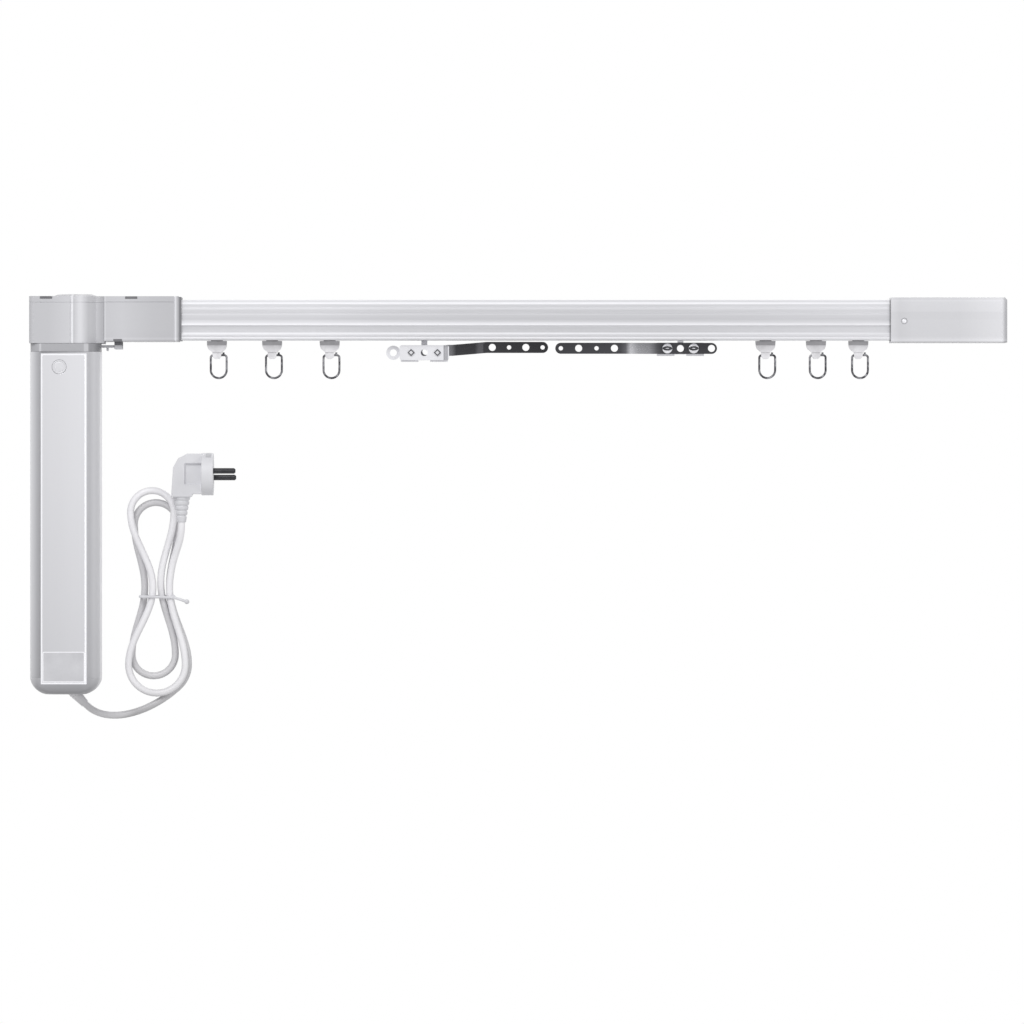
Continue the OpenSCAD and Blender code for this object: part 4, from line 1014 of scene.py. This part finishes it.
head_tree, head_sizes = start_tree(
    "slotted_domes", "Radius", "Height", "Slot_width", "Slot_tall", "Bar_width", "Bar_tall")
slot_size = add(
    head_tree, "ShaderNodeCombineXYZ", X=head_sizes["Slot_width"], Y=head_sizes["Slot_tall"], Z=1.0)
slot_round = add(head_tree, "GeometryNodeMeshCylinder", Vertices=32, Radius=1.0, Depth=20 * MM)
slot_cut = add(head_tree, "GeometryNodeTransform", Geometry=slot_round, Scale=slot_size,
               Rotation=(math.radians(90), 0, 0))
round_head = dome(head_tree, head_sizes["Radius"], head_sizes["Height"], head_sizes["Radius"])
cut = add(head_tree, "GeometryNodeMeshBoolean", Mesh_2=slot_cut, Mesh_1=round_head)
cut.operation = "DIFFERENCE"
cut.solver = "EXACT"
whole = add(head_tree, "GeometryNodeJoinGeometry", Geometry=cut)
slot_bar = dome(head_tree, head_sizes["Bar_width"], head_sizes["Height"], head_sizes["Bar_tall"])
head_tree.links.new(slot_bar.outputs[0], whole.inputs[0])
head_smooth = add(head_tree, "GeometryNodeSetShadeSmooth", Geometry=whole)
end_on_points(head_tree, head_sizes[0], head_smooth, painted_glint)
right_heads = grow("right_screw_domes", screw_points("right", -4.0), [], head_tree,
                   Radius=4.3, Height=0.9, Slot_width=4.2, Slot_tall=1.9, Bar_width=1.7, Bar_tall=0.45)
keep(right_heads, "right_carrier", "steel")

# %% [markdown]
# Flat discs finish the screws: dark floors in the right arm's slots as painted shade, and on the left block
# the screws' other ends, dark diamonds with a light centre, where the dark is painted shade in a square
# recess. A disc with four sides is a diamond.

# %% Painted shade in slots and recesses
DISCS = (
    ("right_screw_slots", "right", -4.05, recess_painted_shade, 32, 4.2, 0.3),
    ("left_recess_shade", "left", -9.85, recess_painted_shade, 4, 3.1, 0.4),
    ("left_nut_centres", "left", -10.1, screw_steel, 4, 1.8, 0.3),
)


def disc_tree(name, material, sides):
    """Flat discs of some sides, square to Y."""
    tree, sizes = start_tree(name, "Radius", "Depth")
    disc = add(tree, "GeometryNodeMeshCylinder", Vertices=sides, Radius=sizes["Radius"], Depth=sizes["Depth"])
    turn = add(tree, "GeometryNodeTransform", Geometry=disc, Rotation=(math.radians(90), 0, 0))
    return end_on_points(tree, sizes[0], turn, material)


for name, side, y, material, sides, radius, depth in DISCS:
    tree = disc_tree(name, material, sides)
    discs = grow(name, screw_points(side, y), [], tree, Radius=radius, Depth=depth)
    keep(discs, f"{side}_carrier", "steel")

# %% [markdown]
# A glider is a small white runner. Its copy is cut level at its shoulder, and the part above, where it meets
# the rail, takes a darker finish. The curtain ring is one bent wire: it starts as a short upright end, passes
# through the glider's eye, goes round the loop and meets itself again at the right.

# %% Gliders and rings
SHOULDER_Z = -38.4
EYE_Z = -46.7
RING_HALF = 6.75
RING_SHIFT = 1.5
RING_CORNER = 2.2
RING_LOW = 12.75
RING_STEPS = 24
WIRE_R = 0.92
FREE_END_X = 5.6
FREE_END_TALL = 2.4
TRACK_HALF = 301.5
GLIDER_X = [TRACK_HALF * share for share in (-0.9008, -0.7449, -0.5824, 0.6481, 0.7907, 0.9101)]


def ring_lines(middle):
    """The wire's lines in millimetres and their edges: a closed loop, then the free end."""
    centre = middle + RING_SHIFT
    low = EYE_Z - RING_LOW
    right, left = centre + RING_HALF, centre - RING_HALF
    path = [(right, low), (right, EYE_Z), (left, EYE_Z), (left, low)]
    for k in range(1, RING_STEPS):
        turn = math.pi * (1 + k / RING_STEPS)
        path.append((centre + RING_HALF * math.cos(turn), low + RING_HALF * math.sin(turn)))
    edges = chain(len(path), True) + [(len(path), len(path) + 1)]
    path += [(middle + FREE_END_X, EYE_Z), (middle + FREE_END_X, EYE_Z + FREE_END_TALL)]
    return [(x, 0.0, z) for x, z in path], edges


ring_tree = wire_tree("ring_wire", ring_wire)
for number, middle in enumerate(GLIDER_X, 1):
    body = welded(f"glider_body_{number}")
    shape = bmesh.new()
    shape.from_mesh(body.data)
    bmesh.ops.bisect_plane(shape, geom=shape.verts[:] + shape.edges[:] + shape.faces[:],
                           plane_co=(0, 0, SHOULDER_Z * MM), plane_no=(0, 0, 1))
    shape.to_mesh(body.data)
    shape.free()
    soften(body, 0.3)
    only_finish(body.data, glider_grey)
    second_finish(body, glider_band, lambda face: face.center.z > SHOULDER_Z * MM)
    keep(body, f"glider_{number}", "white_plastic", f"glider_body_{number}")
    dressed(f"glider_wheels_{number}", roller_white, "roller", 0.25)
    path, edges = ring_lines(middle)
    ring = grow(f"ring_{number}", path, edges, ring_tree, Wire=WIRE_R, Corner=RING_CORNER)
    keep(ring, f"glider_{number}_ring", "ring", f"glider_ring_{number}")

# %% [markdown]
# The plug is one soft moulding, and its solid is a sum of plain blocks. A fine remesh joins them into one
# skin, and smoothing melts the edges as a mould does. A grey earth strip is bent over the rim of its face
# plate.

# %% Plug and earth strip
PLUG_VOXEL = 0.42 * MM
STRIP_X = (-281.0, -276.4)
STRIP_MIDDLE = (3.0, -148.0)
STRIP_RADIUS = 18.1
STRIP_TURNS = (66, 128)
STRIP_THICK = 0.5
STRIP_STEPS = 16
plug = welded("plug_body")
skin = plug.modifiers.new("one_skin", "REMESH")
skin.mode = "VOXEL"
skin.voxel_size = PLUG_VOXEL
skin.use_smooth_shade = True
melt = plug.modifiers.new("melt", "SMOOTH")
melt.factor = 0.5
melt.iterations = 6
thin = plug.modifiers.new("thin", "DECIMATE")
thin.ratio = 0.4
settle(plug)
only_finish(plug.data, plug_white)
keep(plug, "track", "plug", "plug_body")
strip_shape = bmesh.new()
strip_inner = STRIP_RADIUS - STRIP_THICK
strip_corners = (
    (STRIP_X[0], STRIP_RADIUS), (STRIP_X[1], STRIP_RADIUS),
    (STRIP_X[1], strip_inner), (STRIP_X[0], strip_inner),
)
strip_ribs = []
for k in range(STRIP_STEPS + 1):
    turn = math.radians(STRIP_TURNS[0] + (STRIP_TURNS[1] - STRIP_TURNS[0]) * k / STRIP_STEPS)
    rib = []
    for x, radius in strip_corners:
        y = STRIP_MIDDLE[0] + radius * math.cos(turn)
        z = STRIP_MIDDLE[1] + radius * math.sin(turn)
        rib.append(strip_shape.verts.new((x * MM, y * MM, z * MM)))
    strip_ribs.append(rib)
for one, two in zip(strip_ribs, strip_ribs[1:]):
    for k in range(4):
        strip_shape.faces.new((one[k], one[(k + 1) % 4], two[(k + 1) % 4], two[k]))
strip_shape.faces.new(strip_ribs[0])
strip_shape.faces.new(reversed(strip_ribs[-1]))
earth_strip = closed_piece("earth_strip", strip_shape, strip_grey)
keep(earth_strip, "track", "plug")

# %% [markdown]
# The strain relief at the motor carries raised rings. They repeat along it and get smaller towards its tip.

# %% Rings on the strain relief
RIB_COUNT = 5
RIB_FROM = 9
RIB_STEP = 2.6
RIB_SHRINK = -0.055
rib_tree, rib_sizes = start_tree("relief_ribs", "Ring", "Wire")
rib_line = add(rib_tree, "GeometryNodeCurvePrimitiveCircle", Resolution=32, Radius=rib_sizes["Ring"])
rib_section = add(rib_tree, "GeometryNodeCurvePrimitiveCircle", Resolution=10, Radius=rib_sizes["Wire"])
rib = add(rib_tree, "GeometryNodeCurveToMesh", Curve=rib_line, Profile_Curve=rib_section)
rib_smooth = add(rib_tree, "GeometryNodeSetShadeSmooth", Geometry=rib)
order = add(rib_tree, "GeometryNodeInputIndex")
shrink = add(rib_tree, "ShaderNodeMath")
shrink.operation = "MULTIPLY_ADD"
shrink.inputs[1].default_value = RIB_SHRINK
shrink.inputs[2].default_value = 1.0
rib_tree.links.new(order.outputs[0], shrink.inputs[0])
end_on_points(rib_tree, rib_sizes[0], rib_smooth, lead_white, Rotation=(0, math.radians(135), 0),
              Scale=shrink)
rib_points = [gland_foot + (RIB_FROM + RIB_STEP * k) * GLAND_DIR for k in range(RIB_COUNT)]
gland_ribs = grow("gland_ribs", rib_points, [], rib_tree, Ring=4.3, Wire=0.5)
keep(gland_ribs, "track", "lead")

# %% [markdown]
# A thin plastic-coated wire ties the hank at its waist. It goes round both bundles, and one end sticks out
# to the right with a small bead on it.

# %% Tie
TIE_Z = -252.3
TIE_LEFT, TIE_RIGHT = -337.6, -308.9
TIE_FRONT, TIE_BACK = 11.3, 25.1
BEAD_MIDDLE = (TIE_RIGHT + 11.2, TIE_Z - 4.4)
BEAD_PROFILE = ((0, 11.6), (1.1, 11.8), (1.9, 12.5), (2.1, 13.4), (1.9, 14.3), (1.1, 15.0), (0, 15.2))
tie_path = [
    (TIE_RIGHT, TIE_FRONT, TIE_Z + 0.4),
    (TIE_RIGHT, TIE_BACK, TIE_Z),
    (TIE_LEFT, TIE_BACK, TIE_Z),
    (TIE_LEFT, TIE_FRONT, TIE_Z),
    (TIE_RIGHT - 1.0, TIE_FRONT, TIE_Z - 0.8),
    (TIE_RIGHT + 2.5, TIE_FRONT + 1.2, TIE_Z - 1.4),
    (TIE_RIGHT + 11.6, TIE_FRONT + 2.0, TIE_Z - 4.6),
]
tie_tree = wire_tree("tie_wire", tie_white)
tie = grow("hank_tie_wire", tie_path, chain(len(tie_path)), tie_tree, Wire=1.2, Corner=1.8)
keep(tie, "track", "lead", "hank_tie")
bead = turned("tie_bead", BEAD_PROFILE, BEAD_MIDDLE, 20, tie_white)
keep(bead, "track", "lead")

# %% [markdown]
# The drive inside the boxes keeps its solids' shapes: the toothed belt, the sprocket, the rollers, the
# pulley, the shaft, the geared motor and the control board. So do the gland and the plug's pins. They only
# change their finish.

# %% Finishes of the solids that stay
STAYS = {
    "drive_belt": belt_rubber, "drive_sprocket": roller_white, "motor_shaft": screw_steel,
    "guide_roller_front": roller_white, "guide_roller_rear": roller_white, "return_pulley": roller_white,
    "gear_motor": screw_steel, "control_board": board_green, "cable_gland": lead_white, "plug_pins": pin_dark,
}
for node, material in STAYS.items():
    only_finish(frame["nodes"][node].data, material)
print("solids that stay:", len(STAYS))
